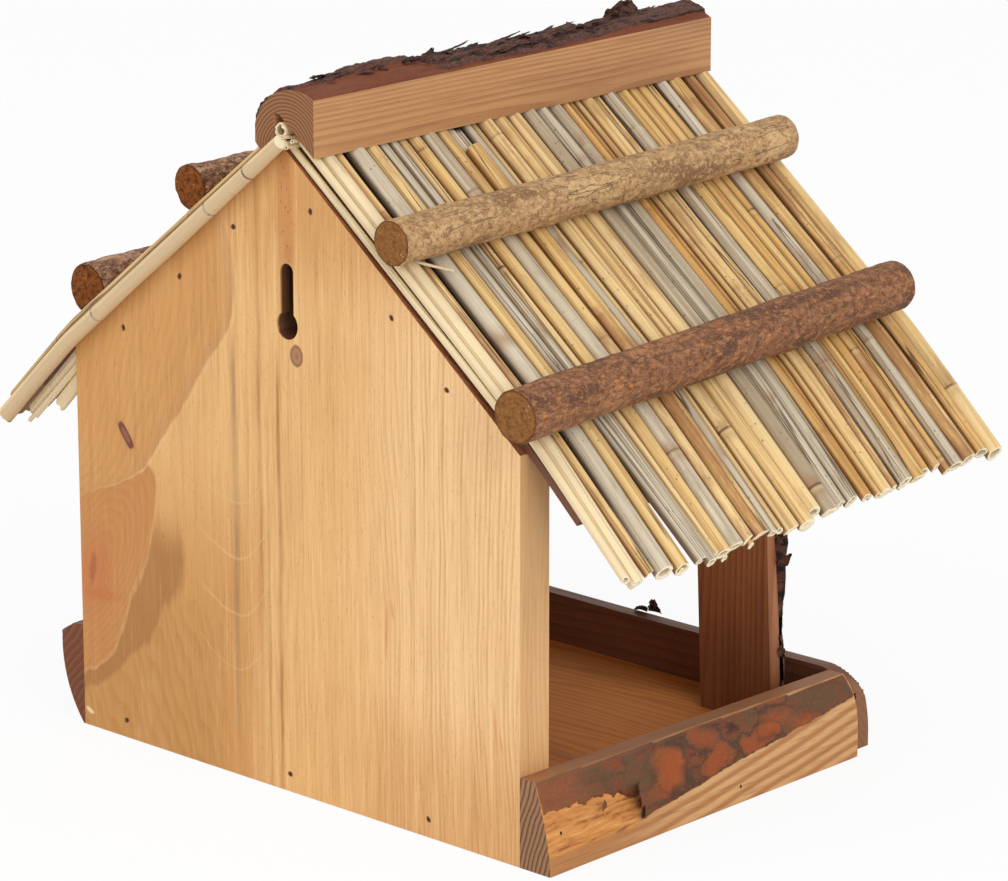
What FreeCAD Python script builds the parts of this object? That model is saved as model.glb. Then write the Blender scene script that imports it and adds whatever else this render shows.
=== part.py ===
import FreeCAD, Part
import math
import os

# Thatched roof bird feeder, in millimetres.
# X runs to the right as seen from the open front, Y runs to the back, Z is up.
# The origin is under the middle of the feeder, on the surface that it stands on.
# A depth is measured forwards from the rear face of the back board.
# A run is measured down a roof slope from the apex of the back board.
# A rise is measured square to a roof slope, outwards from the top edge of the board.

# Back board
board_width = 240.0
board_eave_height = 160.0
board_apex_height = 256.4
board_thickness = 16.0

# Keyhole, cut by a round bit that goes in low and is drawn up
keyhole_height = 188.1
keyhole_entry_diameter = 11.2
keyhole_neck_width = 7.0
keyhole_travel = 20.6
keyhole_neck_depth = 5.0
keyhole_depth = 11.0

# Floor and the three barked lips around it
floor_thickness = 12.0
floor_depth = 166.0
left_lip_height = 35.6
left_lip_top_width = 7.2
left_lip_foot_width = 15.4
left_lip_front_drop = 2.6
left_lip_rear_fullness = 1.7
left_lip_middle_fullness = 2.2
left_lip_front_fullness = 4.5
right_lip_height = 42.4
right_lip_width = 12.5
right_lip_top_width = 5.4
right_lip_top_drop = 0.9
right_lip_worn_corner = 5.6
right_lip_foot_width = 0.8
right_lip_fullness = 0.84
front_lip_overhang = 10.0
front_lip_height = 33.6
front_lip_top_width = 6.0
front_lip_foot_width = 13.5
front_lip_fullness = 0.83
front_lip_corner_drop = 12.0
front_lip_corner_run = 19.0
front_lip_middle_dip = 0.8

# Front posts, sawn flat at the back only
post_flat_width = 36.6
post_bulge = 0.6
post_thickness = 14.0
post_setback = 8.8
post_foot_inset = 29.0
post_lean = 2.5

# Roof panels and the battens under their rear ends
panel_thickness = 3.0
panel_run = 187.0
panel_setback = 4.0
panel_depth = 216.0
batten_width = 16.0
batten_depth = 18.0
batten_start_run = 14.0
batten_end_run = 138.0

# Reed thatch
thatch_setback = 0.8
thatch_depth = 227.0
thatch_run_rear = 221.0
thatch_run_front = 214.0
thatch_bundles = 14
stalk_pitch = 5.4
thick_stalk_share = 1.45
thin_stalk_share = 0.85
stalk_share_wander = 0.13
stalk_end_wander = 2.2
stalk_start_wander = 1.6
stalk_taper = 0.10
stalk_bore_share = 0.62
stalk_bore_depth = 9.0
stalk_clearance = 0.12
stalk_sides = 10
stalk_bore_sides = 8
left_nail_gaps = (1, 13)
right_nail_gaps = (2, 12)
left_thatch_start = 2.0
right_thatch_start = 12.0

# Hazel rods across the thatch, upper and lower on each slope
upper_rod_diameter = 17.8
lower_rod_diameter = 20.8
left_upper_rod_rear_run = 63.8
left_upper_rod_front_run = 58.6
left_upper_rod_rear_depth = -6.2
left_upper_rod_length = 230.0
left_lower_rod_rear_run = 149.2
left_lower_rod_front_run = 139.6
left_lower_rod_rear_depth = -12.1
left_lower_rod_length = 229.0
right_upper_rod_rear_run = 65.0
right_upper_rod_front_run = 60.0
right_upper_rod_rear_depth = 9.3
right_upper_rod_length = 213.0
right_lower_rod_rear_run = 152.0
right_lower_rod_front_run = 147.0
right_lower_rod_rear_depth = 17.2
right_lower_rod_length = 207.0

# Ridge slab, sawn below and on its left side, and the stalk in its notch
slab_overhang = 1.5
slab_length = 228.0
slab_left_reach = 16.8
slab_right_reach = 14.4
slab_side_height = 22.0
slab_crown_rise = 2.6
slab_crown_place = 9.1
slab_right_drop = 12.7
slab_foot_bevel = 2.2
slab_wall_offset = 4.1
slab_wall_clearance = 0.1
slab_notch_headroom = 3.0
ridge_stalk_diameter = 6.6
ridge_stalk_wall = 1.1
ridge_stalk_length = 224.0
ridge_stalk_overhang = 1.0

# Nails and brads
brad_diameter = 1.4
brad_length = 28.0
nail_diameter = 1.8
nail_head_diameter = 3.4
nail_head_thickness = 0.8
nail_clearance = 0.05
nail_sides = 8
nail_sink = 0.3
nail_end_cover = 0.6
brad_sink = 0.5
hole_mouth = 2.0
seat_clearance = 0.02
lip_brad_length = 30.0
roof_brad_drop = 9.0
left_brad_runs = (24.0, 78.0, 114.0)
right_brad_runs = (44.0, 83.0, 125.0)
floor_brad_places = (-73.0, 1.5, 95.0)
floor_brad_height = 7.3
lip_brad_depths = (8.0, 110.0)
lip_brad_height = 6.5
left_lip_rear_brad_height = 15.0
right_lip_rear_brad_height = 29.5
front_lip_brad_places = (-40.0, 40.0)
post_brad_spread = 9.0

LEFT = -1
RIGHT = 1
REAR_TO_FRONT = FreeCAD.Vector(0, -1, 0)

# Sizes that follow from the ones above
half_width = board_width / 2
pitch_angle = math.atan2(board_apex_height - board_eave_height, half_width)
thatch_front_depth = thatch_setback + thatch_depth
rear_y = (thatch_front_depth + left_lower_rod_rear_depth) / 2
lip_length = board_thickness + floor_depth
front_lip_length = board_width + 2 * front_lip_overhang
post_foot_offset = half_width - post_foot_inset
stalks_per_bundle = max(1, round(thatch_depth / thatch_bundles / stalk_pitch))


def place(x, depth, height):
    """A point given by its place across, its depth and its height."""
    return FreeCAD.Vector(x, rear_y - depth, height)


def roof_place(side, run, depth, rise):
    """A point on or over a roof slope."""
    x = side * (run * math.cos(pitch_angle) + rise * math.sin(pitch_angle))
    height = board_apex_height - run * math.sin(pitch_angle) + rise * math.cos(pitch_angle)
    return place(x, depth, height)


def slope_normal(side):
    """The direction that points square out of a roof slope."""
    return FreeCAD.Vector(side * math.sin(pitch_angle), 0, math.cos(pitch_angle))


def prism(points, length):
    """A solid with a flat outline that runs forwards for a length."""
    wire = Part.makePolygon(points + [points[0]])
    return Part.Face(wire).extrude(REAR_TO_FRONT * length)


def spline_edge(points):
    """A smooth edge through points."""
    curve = Part.BSplineCurve()
    curve.interpolate(points)
    return curve.toShape()


def arc_edge(points):
    """A round arc from the first of three points through the second to the third."""
    return Part.Arc(*points).toShape()


def peg(start, direction, length, diameter):
    """A straight round peg."""
    return Part.makeCylinder(diameter / 2, length, start, direction)


def sided_ring(centre, direction, diameter, sides):
    """A ring of equal straight sides, square to a direction."""
    turn = FreeCAD.Rotation(FreeCAD.Vector(0, 0, 1), direction)
    points = []
    for side in range(sides + 1):
        angle = 2 * math.pi * side / sides
        arm = FreeCAD.Vector(math.cos(angle), math.sin(angle), 0) * (diameter / 2)
        points.append(centre + turn.multVec(arm))
    return Part.makePolygon(points)


def sided_peg(start, end, start_diameter, end_diameter, sides):
    """A slim peg with straight sides, for what is too small or too often repeated to be round."""
    along = end - start
    rings = [sided_ring(start, along, start_diameter, sides), sided_ring(end, along, end_diameter, sides)]
    return Part.makeLoft(rings, True, True)


def make_back_board():
    """The gable board with its blind keyhole."""
    outline = [
        place(-half_width, 0, 0),
        place(half_width, 0, 0),
        place(half_width, 0, board_eave_height),
        place(0, 0, board_apex_height),
        place(-half_width, 0, board_eave_height),
    ]
    board = prism(outline, board_thickness)
    return board.cut(make_keyhole())


def keyhole_slot(width, first_depth, last_depth):
    """The space that a bit of one width sweeps from the entry to the top of the slot."""
    depth = last_depth - first_depth
    low = place(0, first_depth, keyhole_height)
    high = place(0, first_depth, keyhole_height + keyhole_travel)
    across = FreeCAD.Vector(width / 2, 0, 0)
    track = prism([low - across, low + across, high + across, high - across], depth)
    top = peg(high, REAR_TO_FRONT, depth, width)
    return track.fuse(top)


def make_keyhole():
    """Entry hole, narrow neck slot and the wider undercut behind the neck."""
    entry = peg(place(0, 0, keyhole_height), REAR_TO_FRONT, keyhole_depth, keyhole_entry_diameter)
    neck = keyhole_slot(keyhole_neck_width, 0, keyhole_neck_depth)
    undercut = keyhole_slot(keyhole_entry_diameter, keyhole_neck_depth, keyhole_depth)
    return entry.fuse([neck, undercut]).removeSplitter()


def make_floor():
    """The floor board, between the side lips and in front of the back board."""
    outline = [
        place(-half_width, board_thickness, 0),
        place(half_width, board_thickness, 0),
        place(half_width, board_thickness, floor_thickness),
        place(-half_width, board_thickness, floor_thickness),
    ]
    return prism(outline, floor_depth)


def waney_points(top_width, foot_width, height, fullness):
    """Outer face of a slab that widens from its top to its foot, as width and height."""
    steps = 5
    points = []
    for step in range(steps + 1):
        fall = step / steps
        share = 1 - (1 - fall) ** fullness
        points.append((top_width + (foot_width - top_width) * share, height * (1 - fall)))
    return points


def width_at(points, height):
    """Width of an outline of widths and heights at one height."""
    ordered = sorted(points, key=lambda point: point[1])
    for low, high in zip(ordered, ordered[1:]):
        if low[1] <= height <= high[1]:
            share = (height - low[1]) / (high[1] - low[1])
            return low[0] + (high[0] - low[0]) * share
    return ordered[-1][0]


def left_lip_section(depth, height, fullness):
    """One section of the left lip."""
    def at(width, level):
        return place(-half_width - width, depth, level)

    points = waney_points(left_lip_top_width, left_lip_foot_width, height, fullness)
    outer = [at(*point) for point in points]
    edges = [
        Part.makeLine(at(0, 0), at(0, height)),
        Part.makeLine(at(0, height), outer[0]),
        spline_edge(outer),
        Part.makeLine(outer[-1], at(0, 0)),
    ]
    return Part.Wire(edges)


def make_left_lip():
    """The left lip: narrow at the top behind, nearly square at its front end."""
    front_height = left_lip_height - left_lip_front_drop
    middle_height = (left_lip_height + front_height) / 2
    sections = [
        left_lip_section(0, left_lip_height, left_lip_rear_fullness),
        left_lip_section(lip_length / 2, middle_height, left_lip_middle_fullness),
        left_lip_section(lip_length, front_height, left_lip_front_fullness),
    ]
    return Part.makeLoft(sections, True)


def right_lip_points():
    """Top, middle and foot of the right lip's outer face below its worn corner, as width and height."""
    shoulder = right_lip_height - right_lip_worn_corner
    middle_width = right_lip_foot_width + (right_lip_width - right_lip_foot_width) * right_lip_fullness
    return [(right_lip_width, shoulder), (middle_width, shoulder / 2), (right_lip_foot_width, 0)]


def make_right_lip():
    """The right lip: thick above, with a worn corner, waning to its foot."""
    def at(out, level):
        return place(half_width + out, 0, level)

    outer = [at(*point) for point in right_lip_points()]
    corner = at(right_lip_top_width, right_lip_height - right_lip_top_drop)
    edges = [
        Part.makeLine(at(0, 0), at(0, right_lip_height)),
        Part.makeLine(at(0, right_lip_height), corner),
        Part.makeLine(corner, outer[0]),
        arc_edge(outer),
        Part.makeLine(outer[-1], at(0, 0)),
    ]
    return Part.Face(Part.Wire(edges)).extrude(REAR_TO_FRONT * lip_length)


def front_lip_points():
    """Top, middle and foot of the front lip's outer face, as width and height."""
    middle_width = front_lip_top_width + (front_lip_foot_width - front_lip_top_width) * front_lip_fullness
    top = (front_lip_top_width, front_lip_height)
    return [top, (middle_width, front_lip_height / 2), (front_lip_foot_width, 0)]


def make_front_lip():
    """The front lip: a slab across the ends of the side lips, its top corners worn round."""
    def at(width, level):
        return place(-front_lip_length / 2, lip_length + width, level)

    outer = [at(*point) for point in front_lip_points()]
    edges = [
        Part.makeLine(at(0, 0), at(0, front_lip_height)),
        Part.makeLine(at(0, front_lip_height), outer[0]),
        arc_edge(outer),
        Part.makeLine(outer[-1], at(0, 0)),
    ]
    slab = Part.Face(Part.Wire(edges)).extrude(FreeCAD.Vector(front_lip_length, 0, 0))
    return slab.common(front_lip_silhouette())


def front_lip_silhouette():
    """The front lip seen from the front, run through its whole width."""
    half = front_lip_length / 2
    low = front_lip_height - front_lip_corner_drop

    def at(x, level):
        return place(x, lip_length, level)

    corner = []
    for angle in (0, math.pi / 4, math.pi / 2):
        inset = front_lip_corner_run * (1 - math.cos(angle))
        corner.append(at(half - inset, low + front_lip_corner_drop * math.sin(angle)))
    other_corner = [at(-point.x, point.z) for point in reversed(corner)]
    edges = [
        Part.makeLine(at(-half, 0), at(half, 0)),
        Part.makeLine(at(half, 0), corner[0]),
        arc_edge(corner),
        arc_edge([corner[-1], at(0, front_lip_height - front_lip_middle_dip), other_corner[0]]),
        arc_edge(other_corner),
        Part.makeLine(other_corner[-1], at(-half, 0)),
    ]
    return Part.Face(Part.Wire(edges)).extrude(REAR_TO_FRONT * front_lip_foot_width)


def post_centre(side, height):
    """Place across of a leaning post's middle at a height."""
    return side * (post_foot_offset - (height - floor_thickness) * math.tan(math.radians(post_lean)))


def post_plan(centre, height):
    """A post's plan at a height: a sawn flat at the rear and an oval bark face in front."""
    half_flat = post_flat_width / 2
    half_oval = half_flat + post_bulge
    flat_angle = math.acos(half_flat / half_oval)
    oval_reach = post_thickness / (1 + math.sin(flat_angle))
    shoulder_angle = math.radians(30)

    def at(angle):
        depth = lip_length - post_setback - oval_reach * (1 - math.sin(angle))
        return place(centre + half_oval * math.cos(angle), depth, height)

    stops = [-flat_angle, shoulder_angle, math.pi - shoulder_angle, math.pi + flat_angle]
    edges = [arc_edge([at(low), at((low + high) / 2), at(high)]) for low, high in zip(stops, stops[1:])]
    edges.append(Part.makeLine(at(stops[-1]), at(stops[0])))
    return Part.Face(Part.Wire(edges))


def make_post(side):
    """A leaning front post, from the floor to the underside of its roof panel."""
    centre = post_centre(side, floor_thickness)
    spare = post_thickness
    column = post_plan(centre, floor_thickness - spare).extrude(FreeCAD.Vector(0, 0, board_apex_height))
    column.rotate(place(centre, 0, floor_thickness), FreeCAD.Vector(0, 1, 0), -side * post_lean)
    under_roof = [
        place(0, 0, floor_thickness),
        place(side * half_width, 0, floor_thickness),
        place(side * half_width, 0, board_eave_height),
        place(0, 0, board_apex_height),
    ]
    return column.common(prism(under_roof, lip_length))


def make_panel(side):
    """A thin roof panel, mitred against the other one at the apex."""
    mitre = panel_thickness / math.cos(pitch_angle)
    outline = [
        place(0, panel_setback, board_apex_height),
        roof_place(side, panel_run, panel_setback, 0),
        roof_place(side, panel_run, panel_setback, panel_thickness),
        place(0, panel_setback, board_apex_height + mitre),
    ]
    return prism(outline, panel_depth)


def make_batten(side):
    """The batten that ties a roof panel to the front face of the back board."""
    outline = [
        roof_place(side, batten_start_run, board_thickness, 0),
        roof_place(side, batten_end_run, board_thickness, 0),
        roof_place(side, batten_end_run, board_thickness, -batten_width),
        roof_place(side, batten_start_run, board_thickness, -batten_width),
    ]
    return prism(outline, batten_depth)


def wander(index, side):
    """A fixed irregular value between minus one and one for each stalk of a slope."""
    return math.sin(index * 2.4 + side) * 0.65 + math.sin(index * 5.1) * 0.35


def stalk_shares(side):
    """Relative widths of the stalks on a slope: one thick stalk in each bundle."""
    shares = []
    for bundle in range(thatch_bundles):
        thick_place = (bundle * 2 + (side == RIGHT)) % stalks_per_bundle
        for place_in_bundle in range(stalks_per_bundle):
            if place_in_bundle == thick_place:
                shares.append(thick_stalk_share)
            else:
                shares.append(thin_stalk_share + stalk_share_wander * wander(len(shares), side))
    return shares


def stalk_layout(side):
    """Depth and diameter of every stalk on a slope, and the depths of the nail gaps."""
    gap = nail_diameter + 4 * nail_clearance
    gap_bundles = left_nail_gaps if side == LEFT else right_nail_gaps
    gap_stalks = [bundle * stalks_per_bundle for bundle in gap_bundles]
    shares = stalk_shares(side)
    unit = (thatch_depth - gap * len(gap_stalks)) / sum(shares)
    stalks = []
    gap_depths = []
    depth = thatch_setback
    for index, share in enumerate(shares):
        if index in gap_stalks:
            gap_depths.append(depth + gap / 2)
            depth += gap
        width = unit * share
        stalks.append((depth + width / 2, width - stalk_clearance))
        depth += width
    return stalks, gap_depths


def thatch_start(side):
    """Run at which the stalks of a slope begin, beside the ridge."""
    return left_thatch_start if side == LEFT else right_thatch_start


def thatch_top(side, run):
    """Rise of the top of the thickest stalks at a run down the slope."""
    thickest = max(diameter for _, diameter in stalk_layout(side)[0])
    start = thatch_start(side)
    share = (run - start) / (thatch_run_front - start)
    return panel_thickness + seat_clearance + thickest * (1 - stalk_taper * (1 - share))


def make_stalk(side, index, depth, diameter):
    """One reed stalk: thinner at the ridge, cut at the eave, three in four open there."""
    forward = depth / thatch_front_depth
    end_run = thatch_run_rear + (thatch_run_front - thatch_run_rear) * forward
    end_run -= stalk_end_wander * abs(wander(index, -side))
    start_run = thatch_start(side) + stalk_start_wander * abs(wander(index, side))
    top_diameter = diameter * (1 - stalk_taper)
    seat = panel_thickness + seat_clearance
    top = roof_place(side, start_run, depth, seat + top_diameter / 2)
    eave = roof_place(side, end_run, depth, seat + diameter / 2)
    stalk = sided_peg(top, eave, top_diameter, diameter, stalk_sides)
    cut_at_a_node = index % 4 == 2
    if cut_at_a_node:
        return stalk
    bore_end = eave + (top - eave).normalize() * stalk_bore_depth
    bore = diameter * stalk_bore_share
    return stalk.cut(sided_peg(eave, bore_end, bore, bore, stalk_bore_sides))


def make_thatch(side):
    """The bundles of stalks on one slope, rear bundle first."""
    bundles = []
    members = []
    for index, (depth, diameter) in enumerate(stalk_layout(side)[0]):
        members.append(make_stalk(side, index, depth, diameter))
        if len(members) == stalks_per_bundle:
            bundles.append(Part.makeCompound(members))
            members = []
    return bundles


def rod_sizes(side, lower):
    """Diameter, run at the rear end, run at the front end, rear depth and length of a rod."""
    sizes = {
        (LEFT, False): (upper_rod_diameter, left_upper_rod_rear_run, left_upper_rod_front_run,
                        left_upper_rod_rear_depth, left_upper_rod_length),
        (LEFT, True): (lower_rod_diameter, left_lower_rod_rear_run, left_lower_rod_front_run,
                       left_lower_rod_rear_depth, left_lower_rod_length),
        (RIGHT, False): (upper_rod_diameter, right_upper_rod_rear_run, right_upper_rod_front_run,
                         right_upper_rod_rear_depth, right_upper_rod_length),
        (RIGHT, True): (lower_rod_diameter, right_lower_rod_rear_run, right_lower_rod_front_run,
                        right_lower_rod_rear_depth, right_lower_rod_length),
    }
    return sizes[side, lower]


def rod_centre(side, lower, share):
    """Centre of a rod at a share of its length, resting on the thatch."""
    diameter, rear_run, front_run, rear_depth, length = rod_sizes(side, lower)
    run = rear_run + (front_run - rear_run) * share
    rise = thatch_top(side, run) + seat_clearance + diameter / 2
    return roof_place(side, run, rear_depth + length * share, rise)


def make_rod(side, lower):
    """A round hazel rod across the thatch, its front end nearer the ridge."""
    rear = rod_centre(side, lower, 0)
    along = rod_centre(side, lower, 1) - rear
    return peg(rear, along, along.Length, rod_sizes(side, lower)[0])


def slab_thatch_point(x):
    """Place across and height of the top of the left thatch where it passes a place across."""
    ridge_rise = thatch_top(LEFT, 0) + seat_clearance
    growth = (thatch_top(LEFT, thatch_run_front) - thatch_top(LEFT, 0)) / thatch_run_front
    run = (-x - ridge_rise * math.sin(pitch_angle)) / (math.cos(pitch_angle) + growth * math.sin(pitch_angle))
    point = roof_place(LEFT, run, 0, ridge_rise + growth * run)
    return point.x, point.z


def ridge_stalk_centre():
    """Place across and height of the stalk that lies on the panels' mitred edge."""
    radius = ridge_stalk_diameter / 2
    x = slab_wall_offset - slab_wall_clearance - radius
    panel_ridge = board_apex_height + panel_thickness / math.cos(pitch_angle)
    height = panel_ridge + seat_clearance + math.sqrt(radius ** 2 - x ** 2)
    return x, height


def make_ridge_slab():
    """The ridge slab: barked crown, right side, flat foot, wall, notch and sawn left side."""
    left_x, left_low = slab_thatch_point(-slab_left_reach)
    left_high = left_low + slab_side_height
    foot_height = left_low + slab_foot_bevel
    notch_height = ridge_stalk_centre()[1] + ridge_stalk_diameter / 2 + slab_notch_headroom
    apex_x, apex_height = slab_thatch_point(0)
    notch_x = apex_x + (notch_height - apex_height) * (left_x - apex_x) / (left_low - apex_height)

    def at(x, height):
        return place(x, -slab_overhang, height)

    crown = [
        at(left_x, left_high),
        at(left_x + slab_crown_place, left_high + slab_crown_rise),
        at(slab_right_reach, left_high - slab_right_drop),
    ]
    corners = [
        crown[-1],
        at(slab_right_reach, foot_height),
        at(slab_right_reach - slab_foot_bevel, left_low),
        at(slab_wall_offset, foot_height),
        at(slab_wall_offset, notch_height),
        at(notch_x, notch_height),
        at(left_x, left_low),
        crown[0],
    ]
    edges = [arc_edge(crown)]
    for first, second in zip(corners, corners[1:]):
        edges.append(Part.makeLine(first, second))
    return Part.Face(Part.Wire(edges)).extrude(REAR_TO_FRONT * slab_length)


def make_ridge_stalk():
    """The hollow stalk that closes the ridge under the slab."""
    x, height = ridge_stalk_centre()
    start = place(x, -ridge_stalk_overhang, height)
    bore_diameter = ridge_stalk_diameter - 2 * ridge_stalk_wall
    tube = peg(start, REAR_TO_FRONT, ridge_stalk_length, ridge_stalk_diameter)
    return tube.cut(peg(start, REAR_TO_FRONT, ridge_stalk_length, bore_diameter))


def headless_brad(start, direction, length, extra, mouth):
    """A thin headless brad, or the hole that it fills."""
    diameter = brad_diameter + 2 * extra
    first = start - direction * mouth
    return sided_peg(first, start + direction * (length + extra), diameter, diameter, nail_sides)


def headed_nail(start, direction, length, extra, mouth):
    """A round wire nail with the top of its head at the start, or the hole that it fills."""
    diameter = nail_diameter + 2 * extra
    wide = nail_head_diameter + 2 * extra
    first = start - direction * mouth
    shank = sided_peg(start, start + direction * (length + extra), diameter, diameter, nail_sides)
    head = sided_peg(first, start + direction * (nail_head_thickness + extra), wide, wide, nail_sides)
    return shank.fuse(head)


def fasten(pieces, node, shape_of, places, drilled):
    """Put a group of nails in place and drill the pieces that they pass through."""
    nails = []
    for start, direction, length in places:
        nails.append(shape_of(start, direction, length, 0, 0))
        hole = shape_of(start, direction, length, nail_clearance, hole_mouth)
        for name in drilled:
            pieces[name] = pieces[name].cut(hole)
    pieces[node] = Part.makeCompound(nails)


def roof_brad_list():
    """Brads through the back board into the roof battens."""
    places = []
    for side, runs in ((LEFT, left_brad_runs), (RIGHT, right_brad_runs)):
        for run in runs:
            places.append((roof_place(side, run, brad_sink, -roof_brad_drop), REAR_TO_FRONT, brad_length))
    return places


def floor_brad_list():
    """Brads through the back board into the rear edge of the floor."""
    places = []
    for x in floor_brad_places:
        places.append((place(x, brad_sink, floor_brad_height), REAR_TO_FRONT, brad_length))
    return places


def left_lip_brad_list():
    """Brads through the left lip, one into the back board and one into the floor."""
    points = waney_points(left_lip_top_width, left_lip_foot_width, left_lip_height, left_lip_rear_fullness)
    inward = FreeCAD.Vector(1, 0, 0)
    places = []
    for depth, height in zip(lip_brad_depths, (left_lip_rear_brad_height, lip_brad_height)):
        x = -half_width - width_at(points, height) + brad_sink
        places.append((place(x, depth, height), inward, lip_brad_length))
    return places


def right_lip_brad_list():
    """Brads through the right lip, one into the back board and one into the floor."""
    points = right_lip_points()
    inward = FreeCAD.Vector(-1, 0, 0)
    places = []
    for depth, height in zip(lip_brad_depths, (right_lip_rear_brad_height, lip_brad_height)):
        x = half_width + width_at(points, height) - brad_sink
        places.append((place(x, depth, height), inward, lip_brad_length))
    return places


def front_lip_brad_list():
    """Brads through the front lip into the floor."""
    depth = lip_length + width_at(front_lip_points(), lip_brad_height) - brad_sink
    places = []
    for x in front_lip_brad_places:
        places.append((place(x, depth, lip_brad_height), -REAR_TO_FRONT, lip_brad_length))
    return places


def post_brad_list():
    """Two brads up through the floor into the foot of each post."""
    up = FreeCAD.Vector(0, 0, 1)
    depth = lip_length - post_setback - post_thickness / 2
    places = []
    for side in (LEFT, RIGHT):
        for offset in (-post_brad_spread, post_brad_spread):
            x = post_centre(side, floor_thickness) + offset
            places.append((place(x, depth, brad_sink), up, brad_length))
    return places


def rod_nail_list(side, lower):
    """Nails through a rod and the gaps in the thatch into the roof panel."""
    diameter, _, _, rear_depth, length = rod_sizes(side, lower)
    inward = -slope_normal(side)
    apex = place(0, 0, board_apex_height)
    places = []
    for depth in stalk_layout(side)[1]:
        centre = rod_centre(side, lower, (depth - rear_depth) / length)
        start = centre - inward * (diameter / 2 - nail_sink)
        rise = (start - apex).dot(slope_normal(side))
        places.append((start, inward, rise - nail_end_cover))
    return places


def ridge_nail_list():
    """Nails down through the slab's left leg and the gaps in the left thatch into the panel."""
    down = FreeCAD.Vector(0, 0, -1)
    left_x, left_low = slab_thatch_point(-slab_left_reach)
    x = left_x + slab_crown_place
    panel_low = board_apex_height + x * math.tan(pitch_angle)
    crown = left_low + slab_side_height + slab_crown_rise
    corner_drop = (nail_diameter / 2 + nail_clearance) * math.tan(pitch_angle)
    end_height = panel_low + nail_end_cover / math.cos(pitch_angle) + corner_drop
    places = []
    for depth in stalk_layout(LEFT)[1]:
        start = place(x, depth, crown - nail_sink)
        places.append((start, down, start.z - end_height))
    return places


def add_fasteners(pieces):
    """All nails and brads, with their holes."""
    fasten(pieces, "roof_brads", headless_brad, roof_brad_list(),
           ["back_board", "left_roof_batten", "right_roof_batten"])
    fasten(pieces, "floor_brads", headless_brad, floor_brad_list(), ["back_board", "floor_board"])
    fasten(pieces, "left_lip_brads", headless_brad, left_lip_brad_list(),
           ["left_lip", "back_board", "floor_board"])
    fasten(pieces, "right_lip_brads", headless_brad, right_lip_brad_list(),
           ["right_lip", "back_board", "floor_board"])
    fasten(pieces, "front_lip_brads", headless_brad, front_lip_brad_list(), ["front_lip", "floor_board"])
    fasten(pieces, "post_brads", headless_brad, post_brad_list(),
           ["floor_board", "left_front_post", "right_front_post"])
    for side, word in ((LEFT, "left"), (RIGHT, "right")):
        for lower, level in ((False, "upper"), (True, "lower")):
            rod = f"{word}_{level}_rod"
            fasten(pieces, f"{rod}_nails", headed_nail, rod_nail_list(side, lower),
                   [rod, f"{word}_roof_panel"])
    fasten(pieces, "ridge_nails", headed_nail, ridge_nail_list(), ["ridge_slab", "left_roof_panel"])


def make_pieces():
    """Every piece of the feeder under its own name."""
    pieces = {
        "back_board": make_back_board(),
        "floor_board": make_floor(),
        "left_lip": make_left_lip(),
        "right_lip": make_right_lip(),
        "front_lip": make_front_lip(),
        "ridge_slab": make_ridge_slab(),
        "ridge_stalk": make_ridge_stalk(),
    }
    for side, word in ((LEFT, "left"), (RIGHT, "right")):
        pieces[f"{word}_front_post"] = make_post(side)
        pieces[f"{word}_roof_panel"] = make_panel(side)
        pieces[f"{word}_roof_batten"] = make_batten(side)
        pieces[f"{word}_upper_rod"] = make_rod(side, False)
        pieces[f"{word}_lower_rod"] = make_rod(side, True)
        for number, bundle in enumerate(make_thatch(side), start=1):
            pieces[f"{word}_thatch_{number:02d}"] = bundle
    add_fasteners(pieces)
    return pieces


os.makedirs("parts", exist_ok=True)
for node, shape in make_pieces().items():
    shape.exportStep(f"parts/{node}.step")
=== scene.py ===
"""The looks of a thatched roof bird feeder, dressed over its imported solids.

Lengths are in metres. X runs to the right as seen from the open front, Y to the back and Z up,
so what a viewer behind the feeder sees on the right has a negative X.
"""

import logging
import math
import random
from dataclasses import dataclass
from enum import Enum
from typing import Callable, Iterable, Optional, Sequence, Union

import bpy
import numpy as np
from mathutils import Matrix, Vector, noise
from mathutils.bvhtree import BVHTree


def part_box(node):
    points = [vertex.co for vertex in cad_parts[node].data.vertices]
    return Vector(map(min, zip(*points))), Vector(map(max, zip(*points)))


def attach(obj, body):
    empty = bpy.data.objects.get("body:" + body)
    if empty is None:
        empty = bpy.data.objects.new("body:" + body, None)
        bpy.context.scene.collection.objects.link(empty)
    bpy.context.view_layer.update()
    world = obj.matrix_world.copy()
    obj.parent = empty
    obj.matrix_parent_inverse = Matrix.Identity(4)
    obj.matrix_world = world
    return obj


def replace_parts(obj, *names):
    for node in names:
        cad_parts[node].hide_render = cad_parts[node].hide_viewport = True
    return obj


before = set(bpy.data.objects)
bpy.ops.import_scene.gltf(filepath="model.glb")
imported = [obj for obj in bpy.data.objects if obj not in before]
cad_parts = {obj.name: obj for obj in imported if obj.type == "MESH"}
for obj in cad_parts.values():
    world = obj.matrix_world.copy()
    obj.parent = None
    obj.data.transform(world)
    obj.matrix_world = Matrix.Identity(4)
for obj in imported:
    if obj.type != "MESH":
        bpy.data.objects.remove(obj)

Colour = tuple[float, float, float, float]
Point = tuple[float, float, float]
LOG = logging.getLogger("feeder")
WHITE = (1.0, 1.0, 1.0, 1.0)
MM = 0.001
REAR_Y = 0.10785  # rear face of the back board
SOFT = 0.12  # how gently a sagging end starts to bend
WELD = 0.000005  # points nearer than this are one
CORNER = math.radians(32)  # edges sharper than this are worn
ROOT = "root"


def paint(red: float, green: float, blue: float) -> Colour:
    """A colour written as a picture shows it.

    Args:
        red: Red, 0 to 255.
        green: Green, 0 to 255.
        blue: Blue, 0 to 255.

    Returns:
        The same colour as the shader counts it.
    """
    def straight(value: float) -> float:
        """One channel without its display curve."""
        share = value / 255
        return share / 12.92 if share <= 0.04045 else ((share + 0.055) / 1.055) ** 2.4

    return straight(red), straight(green), straight(blue), 1.0


def between(first: Colour, second: Colour) -> Colour:
    """A colour half way between two."""
    return tuple((one + two) / 2 for one, two in zip(first, second))


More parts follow.
